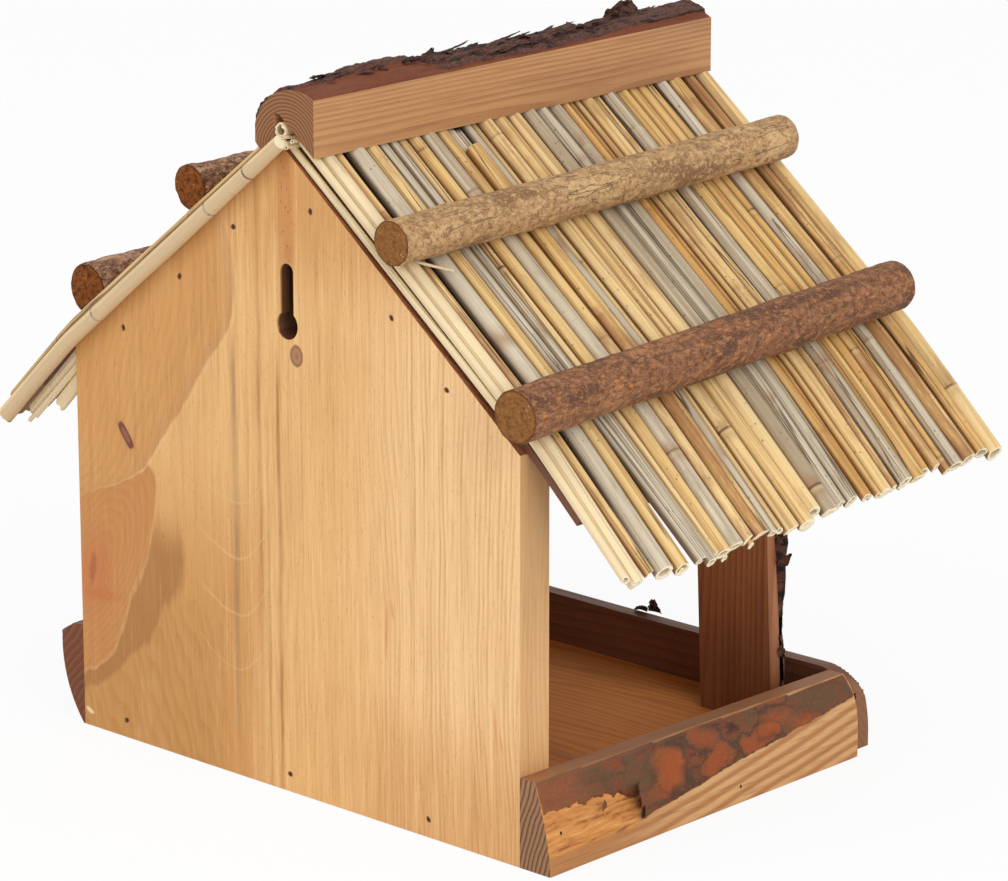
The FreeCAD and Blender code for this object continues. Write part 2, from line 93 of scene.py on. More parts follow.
def smooth(value: float, low: float, high: float) -> float:
    """A soft step.

    Args:
        value: What is tested.
        low: Where the step begins.
        high: Where it ends.

    Returns:
        0 before low, 1 after high, and a smooth value between.
    """
    share = min(1.0, max(0.0, (value - low) / (high - low)))
    return share * share * (3 - 2 * share)


class Side(Enum):
    """A slope of the roof, with the sign of its X."""

    LEFT = -1
    RIGHT = 1

    @property
    def word(self) -> str:
        """The slope's word in the names of its nodes."""
        return self.name.lower()


class Axis(Enum):
    """The way that the grain of a sawn piece runs."""

    X = 0
    Y = 1
    Z = 2


Feed = Union[float, Sequence[float], "Socket"]
Three = tuple["Socket", "Socket", "Socket"]
Scale = Union[float, Sequence[float]]


def operator(kind: str, turned: bool = False) -> Callable:
    """Makes a Python operator that adds one Math node.

    Args:
        kind: What the node does.
        turned: Whether the other operand comes first.

    Returns:
        The operator.
    """
    def act(self: "Socket", other: Feed) -> "Socket":
        """Adds the node."""
        return self.math(kind, other, self) if turned else self.math(kind, self, other)

    return act


class Socket:
    """A shader output that takes part in Python expressions as a number."""

    __add__, __radd__ = operator("ADD"), operator("ADD", True)
    __sub__, __rsub__ = operator("SUBTRACT"), operator("SUBTRACT", True)
    __mul__, __rmul__ = operator("MULTIPLY"), operator("MULTIPLY", True)
    __truediv__, __rtruediv__ = operator("DIVIDE"), operator("DIVIDE", True)
    __pow__, least, most = operator("POWER"), operator("MINIMUM"), operator("MAXIMUM")

    def __init__(self, graph: "Graph", output: bpy.types.NodeSocket) -> None:
        """Wraps an output of a node in a graph."""
        self.graph = graph
        self.output = output

    def math(self, operation: str, first: Feed, second: Feed = 0.0) -> "Socket":
        """One Math node on two values."""
        return self.graph.add("ShaderNodeMath", {"operation": operation}, {0: first, 1: second})

    def __neg__(self) -> "Socket":
        """The value with its sign turned."""
        return self.math("MULTIPLY", self, -1.0)

    def __abs__(self) -> "Socket":
        """The value without its sign."""
        return self.math("ABSOLUTE", self)

    def part(self) -> "Socket":
        """What the value has beyond its whole number."""
        return self.math("FRACT", self)

    def sine(self) -> "Socket":
        """Sine of the value."""
        return self.math("SINE", self)

    def step(self, low: float, high: float) -> "Socket":
        """A soft step.

        Args:
            low: Value that gives 0.
            high: Value that gives 1. It may lie below low.

        Returns:
            The step as a socket.
        """
        flip = low > high
        ends = {"Value": self, "From Min": min(low, high), "From Max": max(low, high),
                "To Min": 1.0 if flip else 0.0, "To Max": 0.0 if flip else 1.0}
        return self.graph.add("ShaderNodeMapRange", {"interpolation_type": "SMOOTHSTEP"}, ends)

    def near(self, middle: float, reach: float) -> "Socket":
        """1 where the value equals middle, falling to 0 at a reach from it."""
        return abs(self - middle).step(reach, 0.0)


class Graph:
    """The node tree of a material or of the world."""

    def __init__(self, name: str, home: Optional[bpy.types.World] = None) -> None:
        """Starts an empty tree.

        Args:
            name: Name of a new material.
            home: What the tree belongs to instead.
        """
        self.home = home or bpy.data.materials.new(name)
        self.home.use_nodes = True
        self.nodes = self.home.node_tree.nodes
        self.links = self.home.node_tree.links
        self.nodes.clear()

    def add(self, kind: str, settings: Optional[dict] = None, sockets: Optional[dict] = None,
            output: Union[int, str] = 0) -> Socket:
        """Adds any node.

        Args:
            kind: The node's type.
            settings: Its properties, or a ramp's stops, set first.
            sockets: Values or links by socket name or number.
            output: The output that is wanted.

        Returns:
            That output.
        """
        node = self.nodes.new(kind)
        for name, value in (settings or {}).items():
            if name == "stops":
                self.set_stops(node, value)
            elif name == "points":
                self.set_points(node, value)
            else:
                setattr(node, name, value)
        for key, value in (sockets or {}).items():
            if isinstance(value, Socket):
                self.links.new(value.output, node.inputs[key])
            else:
                node.inputs[key].default_value = value
        return Socket(self, node.outputs[output])

    def set_stops(self, node: bpy.types.Node, stops: Sequence[tuple[float, Colour]]) -> None:
        """Gives a colour ramp its stops.

        Args:
            node: The ramp.
            stops: Places from 0 to 1 with their colours, in order.
        """
        elements = node.color_ramp.elements
        while len(elements) < len(stops):
            elements.new(0.5)
        for element, (place, colour) in zip(elements, stops):
            element.position = place
            element.color = colour

    def set_points(self, node: bpy.types.Node, points: Sequence[tuple[float, float]]) -> None:
        """Gives a curve its points.

        Args:
            node: The curve's node.
            points: Values that go in with those that come out, in order.
        """
        curve = node.mapping.curves[0]
        while len(curve.points) < len(points):
            curve.points.new(0.5, 0.5)
        for point, place in zip(curve.points, points):
            point.location = place
        node.mapping.update()

    def bend(self, share: Feed, *points: tuple[float, float]) -> Socket:
        """A value read from a smooth curve through points, both from 0 to 1."""
        return self.add("ShaderNodeFloatCurve", {"points": points}, {"Value": share})

    def ramp(self, share: Feed, *stops: tuple[float, Colour]) -> Socket:
        """A colour picked from stops by a value from 0 to 1."""
        return self.add("ShaderNodeValToRGB", {"stops": stops}, {"Fac": share})

    def mix(self, share: Feed, first: Feed, second: Feed) -> Socket:
        """Two colours mixed, with the second one's share given first."""
        return self.add("ShaderNodeMix", {"data_type": "RGBA"}, {0: share, 6: first, 7: second}, 2)

    def coats(self, base: Feed, coats: Iterable[tuple[Feed, Feed]]) -> Socket:
        """Lays colours over each other.

        Args:
            base: The lowest colour.
            coats: Share and colour of each coat, from the lowest up.

        Returns:
            The colour on top.
        """
        for share, colour in coats:
            base = self.mix(share, base, colour)
        return base

    def place(self) -> Socket:
        """A point's place in the feeder's frame."""
        return self.add("ShaderNodeTexCoord", output="Object")

    def kept(self, name: str, output: str = "Vector") -> Socket:
        """A value that the mesh keeps at its points."""
        return self.add("ShaderNodeAttribute", {"attribute_name": name}, output=output)

    def split(self, vector: Socket) -> Three:
        """The three parts of a vector."""
        parts = self.add("ShaderNodeSeparateXYZ", sockets={0: vector}).output.node.outputs
        return Socket(self, parts[0]), Socket(self, parts[1]), Socket(self, parts[2])

    def join(self, x: Feed, y: Feed, z: Feed) -> Socket:
        """A vector from three parts."""
        return self.add("ShaderNodeCombineXYZ", sockets={0: x, 1: y, 2: z})

    def stretch(self, vector: Socket, factors: Sequence[float]) -> Socket:
        """A vector with each part multiplied."""
        return self.add("ShaderNodeVectorMath", {"operation": "MULTIPLY"}, {0: vector, 1: factors})

    def shift(self, vector: Socket, by: Feed) -> Socket:
        """A vector moved by another."""
        return self.add("ShaderNodeVectorMath", {"operation": "ADD"}, {0: vector, 1: by})

    def grain(self, vector: Socket, scale: Scale, detail: float = 2.0, rough: float = 0.5,
              distortion: float = 0.0) -> Socket:
        """Soft noise from 0 to 1.

        Args:
            vector: Where it is read.
            scale: Lumps in a metre, for all directions or for each.
            detail: Finer layers on top.
            rough: Their strength.
            distortion: How far it is twisted.

        Returns:
            The noise.
        """
        sockets = {**self.scaled(vector, scale), "Detail": detail, "Roughness": rough,
                   "Distortion": distortion}
        return self.add("ShaderNodeTexNoise", sockets=sockets)

    def cells(self, vector: Socket, scale: Scale, feature: str = "F1") -> Socket:
        """Distance to the nearest of some scattered points, in cells."""
        return self.add("ShaderNodeTexVoronoi", {"feature": feature}, self.scaled(vector, scale),
                        "Distance")

    def scaled(self, vector: Socket, scale: Scale) -> dict[str, Feed]:
        """Where a pattern is read and its scale, for all directions or for each."""
        if isinstance(scale, float):
            return {"Vector": vector, "Scale": scale}
        return {"Vector": self.stretch(vector, scale), "Scale": 1.0}

    def facing(self) -> Three:
        """The three parts of the surface's own direction."""
        return self.split(self.add("ShaderNodeNewGeometry", output="True Normal"))

    def surface(self, colour: Feed, rough: Feed, height: Optional[Socket] = None,
                depth: float = 0.0, fixed: Optional[dict] = None) -> bpy.types.Material:
        """Ends the material with its surface.

        Args:
            colour: Base colour.
            rough: Roughness.
            height: Height of the fine relief, from 0 to 1.
            depth: What a height of 1 stands for.
            fixed: Other sockets of the surface, the same all over.

        Returns:
            The finished material.
        """
        sockets = {"Base Color": colour, "Roughness": rough, **(fixed or {})}
        if height is not None:
            relief = {"Strength": 1.0, "Distance": depth, "Height": height}
            sockets["Normal"] = self.add("ShaderNodeBump", sockets=relief)
        shader = self.add("ShaderNodeBsdfPrincipled", sockets=sockets)
        return self.finish("ShaderNodeOutputMaterial", shader)

    def finish(self, kind: str, shader: Socket) -> Union[bpy.types.Material, bpy.types.World]:
        """Adds the output node and gives back what the graph belongs to."""
        self.links.new(shader.output, self.nodes.new(kind).inputs[0])
        return self.home


def heads(node: str, slack: float = 0.5 * MM, reach: float = 4.0 * MM) -> list[tuple[float, float]]:
    """Finds the rear ends of the brads in a node.

    Args:
        node: Name of the node.
        slack: How far before the rearmost point an end may lie.
        reach: Points nearer than this belong to the same brad.

    Returns:
        Place across and height of each.
    """
    points = [vertex.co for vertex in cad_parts[node].data.vertices]
    rear = max(point.y for point in points)
    groups: list[list[Vector]] = []
    for point in (point for point in points if point.y >= rear - slack):
        near = next((group for group in groups if (group[0] - point).length < reach), None)
        if near:
            near.append(point)
        else:
            groups.append([point])
    return [(sum(point.x for point in group) / len(group),
             sum(point.z for point in group) / len(group)) for group in groups]


class Look:
    """A material in the making, whose nodes a subclass lays out."""

    name: str

    def make(self) -> bpy.types.Material:
        """Builds the material.

        Returns:
            The material.
        """
        return self.cover(Graph(self.name))

    def cover(self, g: Graph) -> bpy.types.Material:
        """Lays out the nodes in an empty graph and ends them with the surface."""
        raise NotImplementedError


@dataclass(frozen=True)
class PineFace(Look):
    """Pale sawn pine of the gable board, with swept grain on one half as seen from behind."""

    name: str = "pine_face"
    honey: Colour = paint(231, 181, 117)
    pale: Colour = paint(244, 199, 143)
    amber: Colour = paint(209, 150, 83)
    late: Colour = paint(182, 122, 62)
    lobe: Colour = paint(200, 136, 74)
    band: Colour = paint(174, 118, 60)
    foot: Colour = paint(199, 145, 78)
    red: Colour = paint(196, 112, 62)
    knot: Colour = paint(112, 58, 42)
    end_wood: Colour = paint(112, 62, 38)
    hole: Colour = paint(80, 42, 27)

    def border(self, g: Graph, v: Socket, *points: Point) -> Socket:
        """Place across of a border in the grain at each height.

        Args:
            g: The graph.
            v: Height.
            points: Heights and places across in millimetres, in order.

        Returns:
            The place across.
        """
        ends = [(height / 260, (place + 130) / 260) for height, place in points]
        return g.bend(v / 0.260, *ends) * 0.260 - 0.130

    def line(self, count: Socket, sharp: float = 0.92) -> Socket:
        """Dark late wood at the end of each growth ring."""
        edge = count.part()
        return edge.step(0.30, sharp) * edge.step(1.0, sharp + 0.03)

    def oval(self, u: Socket, v: Socket, middle: Sequence[float], reach: Sequence[float],
             turn: float, power: float = 2.0) -> Socket:
        """Distance from the middle of an oval, 1 on its rim.

        Args:
            u: Place across.
            v: Height.
            middle: Its middle in millimetres.
            reach: Half its width and height in millimetres.
            turn: Its turn in degrees.
            power: 2 for an oval, more for a rounder box.

        Returns:
            The distance.
        """
        cos, sin = math.cos(math.radians(turn)), math.sin(math.radians(turn))
        across = u - middle[0] * MM
        along = v - middle[1] * MM
        first = abs((across * cos + along * sin) / (reach[0] * MM))
        second = abs((along * cos - across * sin) / (reach[1] * MM))
        return (first ** power + second ** power) ** (1 / power)

    def grain_lines(self, g: Graph, u: Socket, v: Socket, w: Socket) -> Three:
        """Lays out the parts of the grain.

        Args:
            g: The graph.
            u: Place across as seen from behind.
            v: Height.
            w: Depth.

        Returns:
            The colour before fine grain, the late wood lines and their pattern of strength.
        """
        slow = g.grain(g.join(u * 11.0, w * 11.0, v * 4.0), 1.0, 2.0) - 0.5
        fast = g.grain(g.join(u * 90.0, w * 90.0, v * 14.0), 1.0, 2.0) - 0.5
        upper = self.border(g, v, (0, -130), (88, -130), (96, -120), (106, -98), (116, -81),
                            (136, -66), (148, -56), (170, -41), (183, -31), (191, -28.5),
                            (210, -29), (226, -36), (245, -50), (260, -62))
        lobe = self.border(g, v, (0, -130), (12, -128), (21, -120), (35, -104), (61, -91),
                           (83, -81), (98, -76), (108, -73), (115, -75), (121, -88), (128, -130),
                           (260, -130))
        band = self.border(g, v, (0, -127), (11, -120), (25, -104), (36, -89), (65, -66), (76, -62),
                           (92, -64), (106, -70), (120, -100), (130, -130), (260, -130))
        rag = g.grain(g.join(u * 420.0, w * 420.0, v * 60.0), 1.0, 3.0, 0.6) - 0.5
        gap = upper - u + fast * 0.005 + rag * 0.002
        high = gap.step(-0.0010, 0.0014)
        inside = (lobe - u + fast * 0.012 + rag * 0.006).step(-0.0016, 0.0020) * (1.0 - high)
        dark = ((band - u + fast * 0.016 + rag * 0.006).step(-0.0030, 0.0030) * (1.0 - high)
                * (1.0 - inside))
        dark = dark * v.step(0.104, 0.080)
        low = u.step(-0.026, -0.052) * v.step(0.078, 0.050) * (1.0 - inside) * (1.0 - dark)
        free = (1.0 - high) * (1.0 - inside) * (1.0 - dark)
        right = self.line((u + v * 0.022 + slow * 0.030 + fast * 0.004 + w * 0.9) / 0.0023)
        right = right * g.grain(g.join(u * 230.0, w * 40.0, v * 5.0), 1.0, 3.0).step(0.34, 0.60)
        tall = self.line((u * 0.55 - gap * 0.45 + slow * 0.01 + w * 0.9) / 0.0042)
        across = (u + 0.113) * 0.83 - (v - 0.068) * 0.55
        along = (u + 0.113) * 0.55 + (v - 0.068) * 0.83
        nested = self.line(((across * across + (along * 0.42) * (along * 0.42)) ** 0.5
                            + fast * 0.004 + slow * 0.012) / 0.0023)
        strokes = self.line((u * 0.90 + v * 0.44 + fast * 0.016 + slow * 0.03) / 0.0062)
        strong = u.step(0.030, 0.075) * 0.85 + 0.12
        lines = (right * strong * free * (1.0 - low) + tall * high * 0.40 + nested * inside * 0.75
                 + strokes * low * 0.85)
        edge_line = (abs(gap).step(0.0014, 0.0003) * v.step(0.09, 0.12) * v.step(0.215, 0.20)
                     + abs(lobe - u + fast * 0.012).step(0.0016, 0.0004) * v.step(0.11, 0.09) * 0.5)
        colour = g.coats(self.honey, (
            (u.step(0.020, 0.080), self.pale),
            (v.step(0.06, 0.02) * u.step(0.02, 0.06) * 0.6, self.amber),
            (u.step(-0.005, -0.028) * v.step(0.14, 0.07), paint(210, 153, 88)),
            (v.step(0.190, 0.235) * 0.8, self.amber),
            (high * 0.9, self.amber),
            (high * gap.step(0.010, 0.002) * 0.55, paint(196, 144, 92)),
            (high * gap.near(0.0160, 0.0040) * 0.35, paint(198, 142, 86)),
            (inside, self.lobe),
            (dark, self.band),
            (low * 0.9, self.foot),
            (edge_line.least(1.0) * (rag + 0.95) * 0.42, paint(244, 204, 142))))
        return colour, lines, slow

    def streaks(self, g: Graph, colour: Socket, u: Socket, v: Socket) -> Socket:
        """Lays the long grey and brown streaks and the pale arcs over the wood.

        Args:
            g: The graph.
            colour: The colour so far.
            u: Place across as seen from behind.
            v: Height.

        Returns:
            The colour with them.
        """
        sway = (g.grain(g.join(u * 3.0, 0.0, v * 14.0), 1.0, 3.0) - 0.5) * 0.004
        fade = g.grain(g.join(u * 20.0, 0.3, v * 22.0), 1.0, 3.0).step(0.30, 0.62)
        moved = u + sway
        torn = g.grain(g.join(u * 700.0, 0.0, v * 34.0), 1.0, 3.0, 0.7)
        fuzzy = moved + (torn - 0.5) * 0.003
        grey = (fuzzy.near(-0.0300, 0.0026) * v.step(0.004, 0.03) * v.step(0.19, 0.165)
                * (fade * 0.55 + 0.45))
        brown = (fuzzy.near(-0.0162, 0.0020) * v.step(0.03, 0.09) * 0.75
                 + fuzzy.near(-0.0118, 0.0014) * 0.5 * v.step(0.165, 0.14)
                 + fuzzy.near(-0.0058, 0.0018) * v.step(0.185, 0.16) * 0.95)
        above = fuzzy.near(0.0004, 0.0062) * v.step(0.205, 0.216)
        dots = g.cells(g.join(u * 520.0, 0.0, v * 300.0), 1.0).step(0.24, 0.10)
        colour = g.coats(colour, (
            (grey * 0.66, paint(146, 112, 78)),
            ((brown * (fade * 0.6 + 0.5)).least(1.0) * 0.9, paint(176, 116, 62)),
            (above * (fade * 0.5 + 0.5), paint(190, 120, 62)),
            (above * dots * 0.6, paint(110, 62, 34))))
        gap = u + 0.029
        bowl = v - (gap.most(0.0) ** 2.0) * 55.0 - (gap.least(0.0) ** 2.0) * 19.0
        bowl = bowl + (g.grain(g.join(u * 60.0, 0.4, v * 30.0), 1.0, 2.0) - 0.5) * 0.006
        turn = ((bowl - 0.0440 + sway * 1.4) / 0.0223).part()
        arc = ((turn.step(0.045, 0.0) + turn.step(0.955, 1.0)) * u.step(-0.054, -0.046)
               * u.step(-0.004, -0.009))
        arc = arc * bowl.step(0.036, 0.042) * bowl.step(0.118, 0.112) * (fade * 0.7 + 0.3)
        return g.mix(arc * 0.42, colour, paint(236, 196, 134))

    def spot_plan(self) -> Iterable[tuple]:
        """Middle, reach, turn, power and raggedness of each spot, then where each coat fades in."""
        yield (4.8, 176.9), (3.2, 4.1), 0.0, 2.0, 0.35, (
            (1.16, 0.98, 0.85, paint(132, 80, 52)), (0.86, 0.70, 0.8, paint(176, 126, 88)),
            (0.40, 0.15, 0.5, paint(140, 92, 66)))
        yield (-91.8, 127.2), (1.9, 5.6), 38.0, 3.4, 0.3, (
            (2.2, 1.0, 0.30, paint(186, 120, 70)), (1.18, 0.96, 0.95, self.knot),
            (0.70, 0.50, 0.65, paint(158, 98, 78)))
        yield (-112.0, 66.0), (9.0, 16.0), -14.0, 2.0, 1.2, ((1.7, 0.2, 0.60, self.red),)
        yield (-113.0, 68.0), (1.8, 6.0), -12.0, 2.0, 1.6, ((1.5, 0.6, 0.55, paint(160, 82, 46)),)
        yield (-108.0, 57.5), (12.0, 2.6), 4.0, 2.0, 1.6, ((1.4, 0.4, 0.45, paint(192, 106, 58)),)
        for middle, reach, turn in (((54.6, 86.5), (0.7, 3.6), 8.0),
                                    ((51.5, 78.0), (0.9, 12.0), -3.0),
                                    ((107.5, 53.0), (0.8, 11.0), 6.0),
                                    ((110.5, 47.0), (0.6, 4.5), 12.0)):
            yield middle, reach, turn, 2.0, 0.6, ((1.3, 0.5, 0.42, paint(206, 130, 62)),)
        yield (-117.0, 6.5), (1.1, 2.6), 70.0, 2.0, 1.4, ((1.2, 0.6, 0.8, paint(248, 226, 188)),)

    def spots(self, g: Graph, colour: Socket, u: Socket, v: Socket) -> Socket:
        """Lays the knots, marks and torn nail holes over the wood.

        Args:
            g: The graph.
            colour: The colour so far.
            u: Place across as seen from behind.
            v: Height.

        Returns:
            The colour with them.
        """
        wobble = (g.grain(g.join(u, 0.0, v), 420.0, 3.0) - 0.5) * 0.5
        for middle, reach, turn, power, ragged, rims in self.spot_plan():
            spot = self.oval(u, v, middle, reach, turn, power) + wobble * ragged
            colour = g.coats(colour,
                             ((spot.step(*rim) * share, tone) for *rim, share, tone in rims))
        fine = (g.grain(g.join(u, 0.0, v), 1100.0, 2.0) - 0.5) * 1.6
        holes = None
        for order, (x, z) in enumerate(heads("roof_brads") + heads("floor_brads")):
            hole = (self.oval(u, v, (-x / MM, z / MM), (0.95, 1.25), order * 37.0) + wobble * 0.8
                    + fine * 0.5)
            torn = hole.step(1.35, 0.85)
            holes = torn if holes is None else holes.most(torn)
        return g.mix(holes * 0.9, colour, paint(66, 36, 22))

    def cover(self, g: Graph) -> bpy.types.Material:
        """Lays out the nodes."""
        x, y, z = g.split(g.place())
        u = x * -1.0
        w = REAR_Y - y
        wood, lines, slow = self.grain_lines(g, u, z, w)
        strength = g.grain(g.join(x * 26.0, y * 26.0, z * 7.0), 1.0, 3.0)
        blotch = g.grain(g.join(x * 30.0, y * 30.0, z * 12.0), 1.0, 4.0, 0.6)
        fibre = g.grain(g.join(x * 1300.0, y * 1300.0, z * 36.0), 1.0, 3.0, 0.6)
        silk = g.grain(g.join(x * 420.0, y * 420.0, z * 8.0), 1.0, 4.0, 0.7)
        calm = u.step(-0.055, -0.015) * 0.75 + 0.25
        pores = g.grain(g.join(x * 3000.0, y * 3000.0, z * 420.0), 1.0, 1.0).step(0.68, 0.80)
        wood = g.coats(wood, (
            (lines * (strength * 0.8 + 0.45) * 0.55, self.late),
            (blotch.step(0.50, 0.80) * 0.30, paint(198, 142, 86)),
            (blotch.step(0.48, 0.22) * 0.25, paint(244, 202, 150)),
            (silk.step(0.50, 0.72) * 0.34, paint(186, 130, 76)),
            (silk.step(0.50, 0.30) * calm * 0.28, paint(252, 214, 158)),
            (fibre.step(0.50, 0.74) * 0.38, paint(180, 124, 72)),
            (fibre.step(0.48, 0.26) * calm * 0.34, paint(252, 214, 158)),
            (pores * 0.36, paint(154, 98, 54))))
        wood = self.streaks(g, wood, u, z)
        wood = self.spots(g, wood, u, z)
        sideways, _, up = g.facing()
        ends = up.step(0.35, 0.6)
        stripes = self.line((w * 0.8 + x * 0.25 + slow * 0.01) / 0.0021, 0.80)
        patchy = g.grain(g.join(x * 60.0, y * 60.0, z * 60.0), 1.0, 3.0).step(0.35, 0.65)
        end_wood = g.mix(stripes * 0.7 + patchy * 0.2, paint(150, 92, 56), self.end_wood)
        inside = (abs(u).step(0.0064, 0.0058) * z.step(0.1815, 0.1825) * z.step(0.2172, 0.2162)
                  * w.step(0.0002, 0.0012) * w.step(0.0125, 0.0115))
        wood = g.coats(wood, (
            # Painted shade: faces turned sideways are darkened towards a dull brown.
            (abs(sideways).step(0.7, 0.9) * 0.45, paint(180, 126, 70)),
            (ends, end_wood),
            (inside * 0.88, self.hole)))
        rough = 0.50 + fibre * 0.18
        return g.surface(wood, rough, fibre * 0.45 + lines * 0.30 + pores * -0.4, 0.00022,
                         {"Specular IOR Level": 0.4})


@dataclass(frozen=True)
class StainedWood(Look):
    """Softwood under a thin brown stain, sawn along one axis."""

    name: str
    axis: Axis
    light: Colour
    dark: Colour
    shade: Colour
    ring: float = 3.2 * MM
    bend: float = 0.006
    middle: Point = (0.0, 0.0, -0.05)
    fibre: float = 0.30
    rough: float = 0.5
    end: Colour = paint(110, 66, 42)
    relief: float = 0.00022
    # Heights between which painted shade darkens the wood towards the bottom; None leaves the wood
    # even.
    clear: Optional[tuple[float, float]] = None

    def cover(self, g: Graph) -> bpy.types.Material:
        """Lays out the nodes."""
        spot = g.place()
        factors = [60.0, 60.0, 60.0]
        factors[self.axis.value] = 7.0
        sway = g.grain(spot, tuple(value * 0.3 for value in factors), 3.0)
        parts = list(g.split(g.shift(spot, tuple(-value for value in self.middle))))
        parts.pop(self.axis.value)
        reach = (parts[0] * parts[0] + parts[1] * parts[1]) ** 0.5
        edge = ((reach + (sway - 0.5) * self.bend * 4.0) / self.ring).part()
        line = edge.step(0.3, 0.9) * edge.step(1.0, 0.93)
        fine = [1400.0, 1400.0, 1400.0]
        fine[self.axis.value] = 38.0
        fibre = g.grain(spot, tuple(fine), 2.0)
        blotch = g.grain(spot, tuple(factors), 3.0)
        across = g.facing()[self.axis.value]
        ends = abs(across).step(0.6, 0.85)
        end_wood = g.mix(line, self.end, g.mix(0.5, self.end, self.light))
        wood = g.coats(self.light, (
            (line * (blotch * 0.8 + 0.3), self.dark),
            (blotch.step(0.42, 0.75) * 0.55, self.shade),
            (fibre.step(0.5, 0.8) * self.fibre, self.shade),
            (fibre.step(0.46, 0.2) * self.fibre * 0.6, self.light),
            (ends, end_wood)))
        # Painted shade: the wood is darkened towards the bottom, from the first height down to the
        # second.
        if self.clear:
            wood = g.mix(g.split(spot)[2].step(*self.clear) * 0.65, wood, self.shade)
        return g.surface(wood, self.rough + fibre * 0.15, fibre * 0.5 + line * 0.4, self.relief)


@dataclass(frozen=True)
class PineBark(Look):
    """Flaky pine bark, with a band of smooth inner bark where it is worn away."""

    name: str = "pine_bark"
    crack: Colour = paint(26, 14, 11)
    crust: Colour = paint(58, 31, 23)
    plate: Colour = paint(112, 72, 59)
    rust: Colour = paint(92, 49, 32)
    band: Colour = paint(124, 66, 39)

    def cover(self, g: Graph) -> bpy.types.Material:
        """Lays out the nodes."""
        spot = g.place()
        rough, height, _ = g.split(g.kept("bark_facts"))
        layers = g.grain(spot, (250.0, 110.0, 250.0), 6.0, 0.68)
        small = g.grain(spot, (1300.0, 700.0, 1300.0), 3.0, 0.6)
        sheets = (layers * 9.0 + height * 0.35).part()
        long = g.grain(spot, (420.0, 45.0, 420.0), 4.0, 0.6)
        level = (layers - 0.5) * 1.45 + (long - 0.5) * 0.9 + 0.43 + height * 0.06 + small * 0.10
        bark = g.ramp(level, (0.34, self.crack), (0.42, self.crust), (0.50, self.rust),
                      (0.60, self.plate))
        bark = g.coats(bark, (
            (sheets.step(0.66, 0.96) * 0.85, self.crack),
            # Painted highlight: a pale band on the raised edge of each bark sheet, beside its
            # crack.
            (sheets.step(0.16, 0.02) * 0.45, paint(164, 122, 104)),
            (small.step(0.60, 0.76) * 0.45, paint(160, 112, 92)),
            (long.step(0.46, 0.38) * 0.85, self.crack)))
        smooth_band = g.coats(self.band, (
            (long.step(0.40, 0.68) * 0.6, paint(92, 47, 30)),
            (layers.step(0.56, 0.72) * 0.5, paint(144, 82, 50))))
        wood = g.mix(rough.step(0.35, 0.65), smooth_band, bark)
        relief = (layers * 0.8 + sheets * -0.5 + small * 0.35) * (rough * 0.8 + 0.2)
        return g.surface(wood, 0.62 + small * 0.3, relief, 0.0012, {"Specular IOR Level": 0.35})


@dataclass(frozen=True)
class InnerBark(Look):
    """Glossy inner bark of the left lip, with rust-coloured islands."""

    name: str = "inner_bark"
    brown: Colour = paint(120, 62, 30)
    grey: Colour = paint(94, 68, 40)
    deep: Colour = paint(66, 34, 22)
    orange: Colour = paint(150, 70, 24)
    bright: Colour = paint(164, 78, 24)

    def cover(self, g: Graph) -> bpy.types.Material:
        """Lays out the nodes."""
        spot = g.place()
        _, y, z = g.split(spot)
        twist = g.grain(spot, (90.0, 70.0, 90.0), 4.0, 0.6)
        bent = g.shift(g.stretch(spot, (1.0, 0.62, 1.0)),
                       g.join(0.0, (twist - 0.5) * 0.012, (twist - 0.5) * 0.010))
        lump = g.grain(bent, 120.0, 5.0, 0.62)
        islands = g.cells(bent, 105.0, "SMOOTH_F1")
        wide = g.cells(g.shift(bent, (0.3, 0.2, 0.1)), 66.0, "SMOOTH_F1")
        skin = g.ramp(lump, (0.30, self.deep), (0.42, self.brown), (0.55, self.grey),
                      (0.66, self.brown), (0.80, self.orange))
        mid = y.step(-0.055, -0.035) * y.step(0.062, 0.030)
        near = y.step(0.075, 0.095)
        fine = g.grain(spot, (1500.0, 900.0, 1500.0), 3.0)
        top = z.step(0.0325, 0.0345)
        skin = g.coats(skin, (
            (islands.step(0.46, 0.26) * (mid * 0.75 + 0.18), self.orange),
            (islands.near(0.45, 0.07) * (mid * 0.4 + 0.2), self.deep),
            (wide.step(0.40, 0.24) * mid * 0.75, self.bright),
            (wide.near(0.41, 0.04) * mid * 0.45, self.deep),
            (near * 0.55, paint(148, 84, 46)),
            ((lump * 9.0).sine().step(0.55, 0.95) * 0.30, self.deep),
            (fine.step(0.58, 0.74) * 0.30, paint(176, 122, 84)),
            (fine.step(0.44, 0.28) * 0.35, paint(58, 36, 28)),
            (top * 0.5, paint(120, 78, 54))))
        relief = lump * 0.9 + fine * 0.25 + islands.step(0.44, 0.36) * 0.5
        return g.surface(skin, 0.38 + fine * 0.22, relief, 0.0006, {"Specular IOR Level": 0.3})


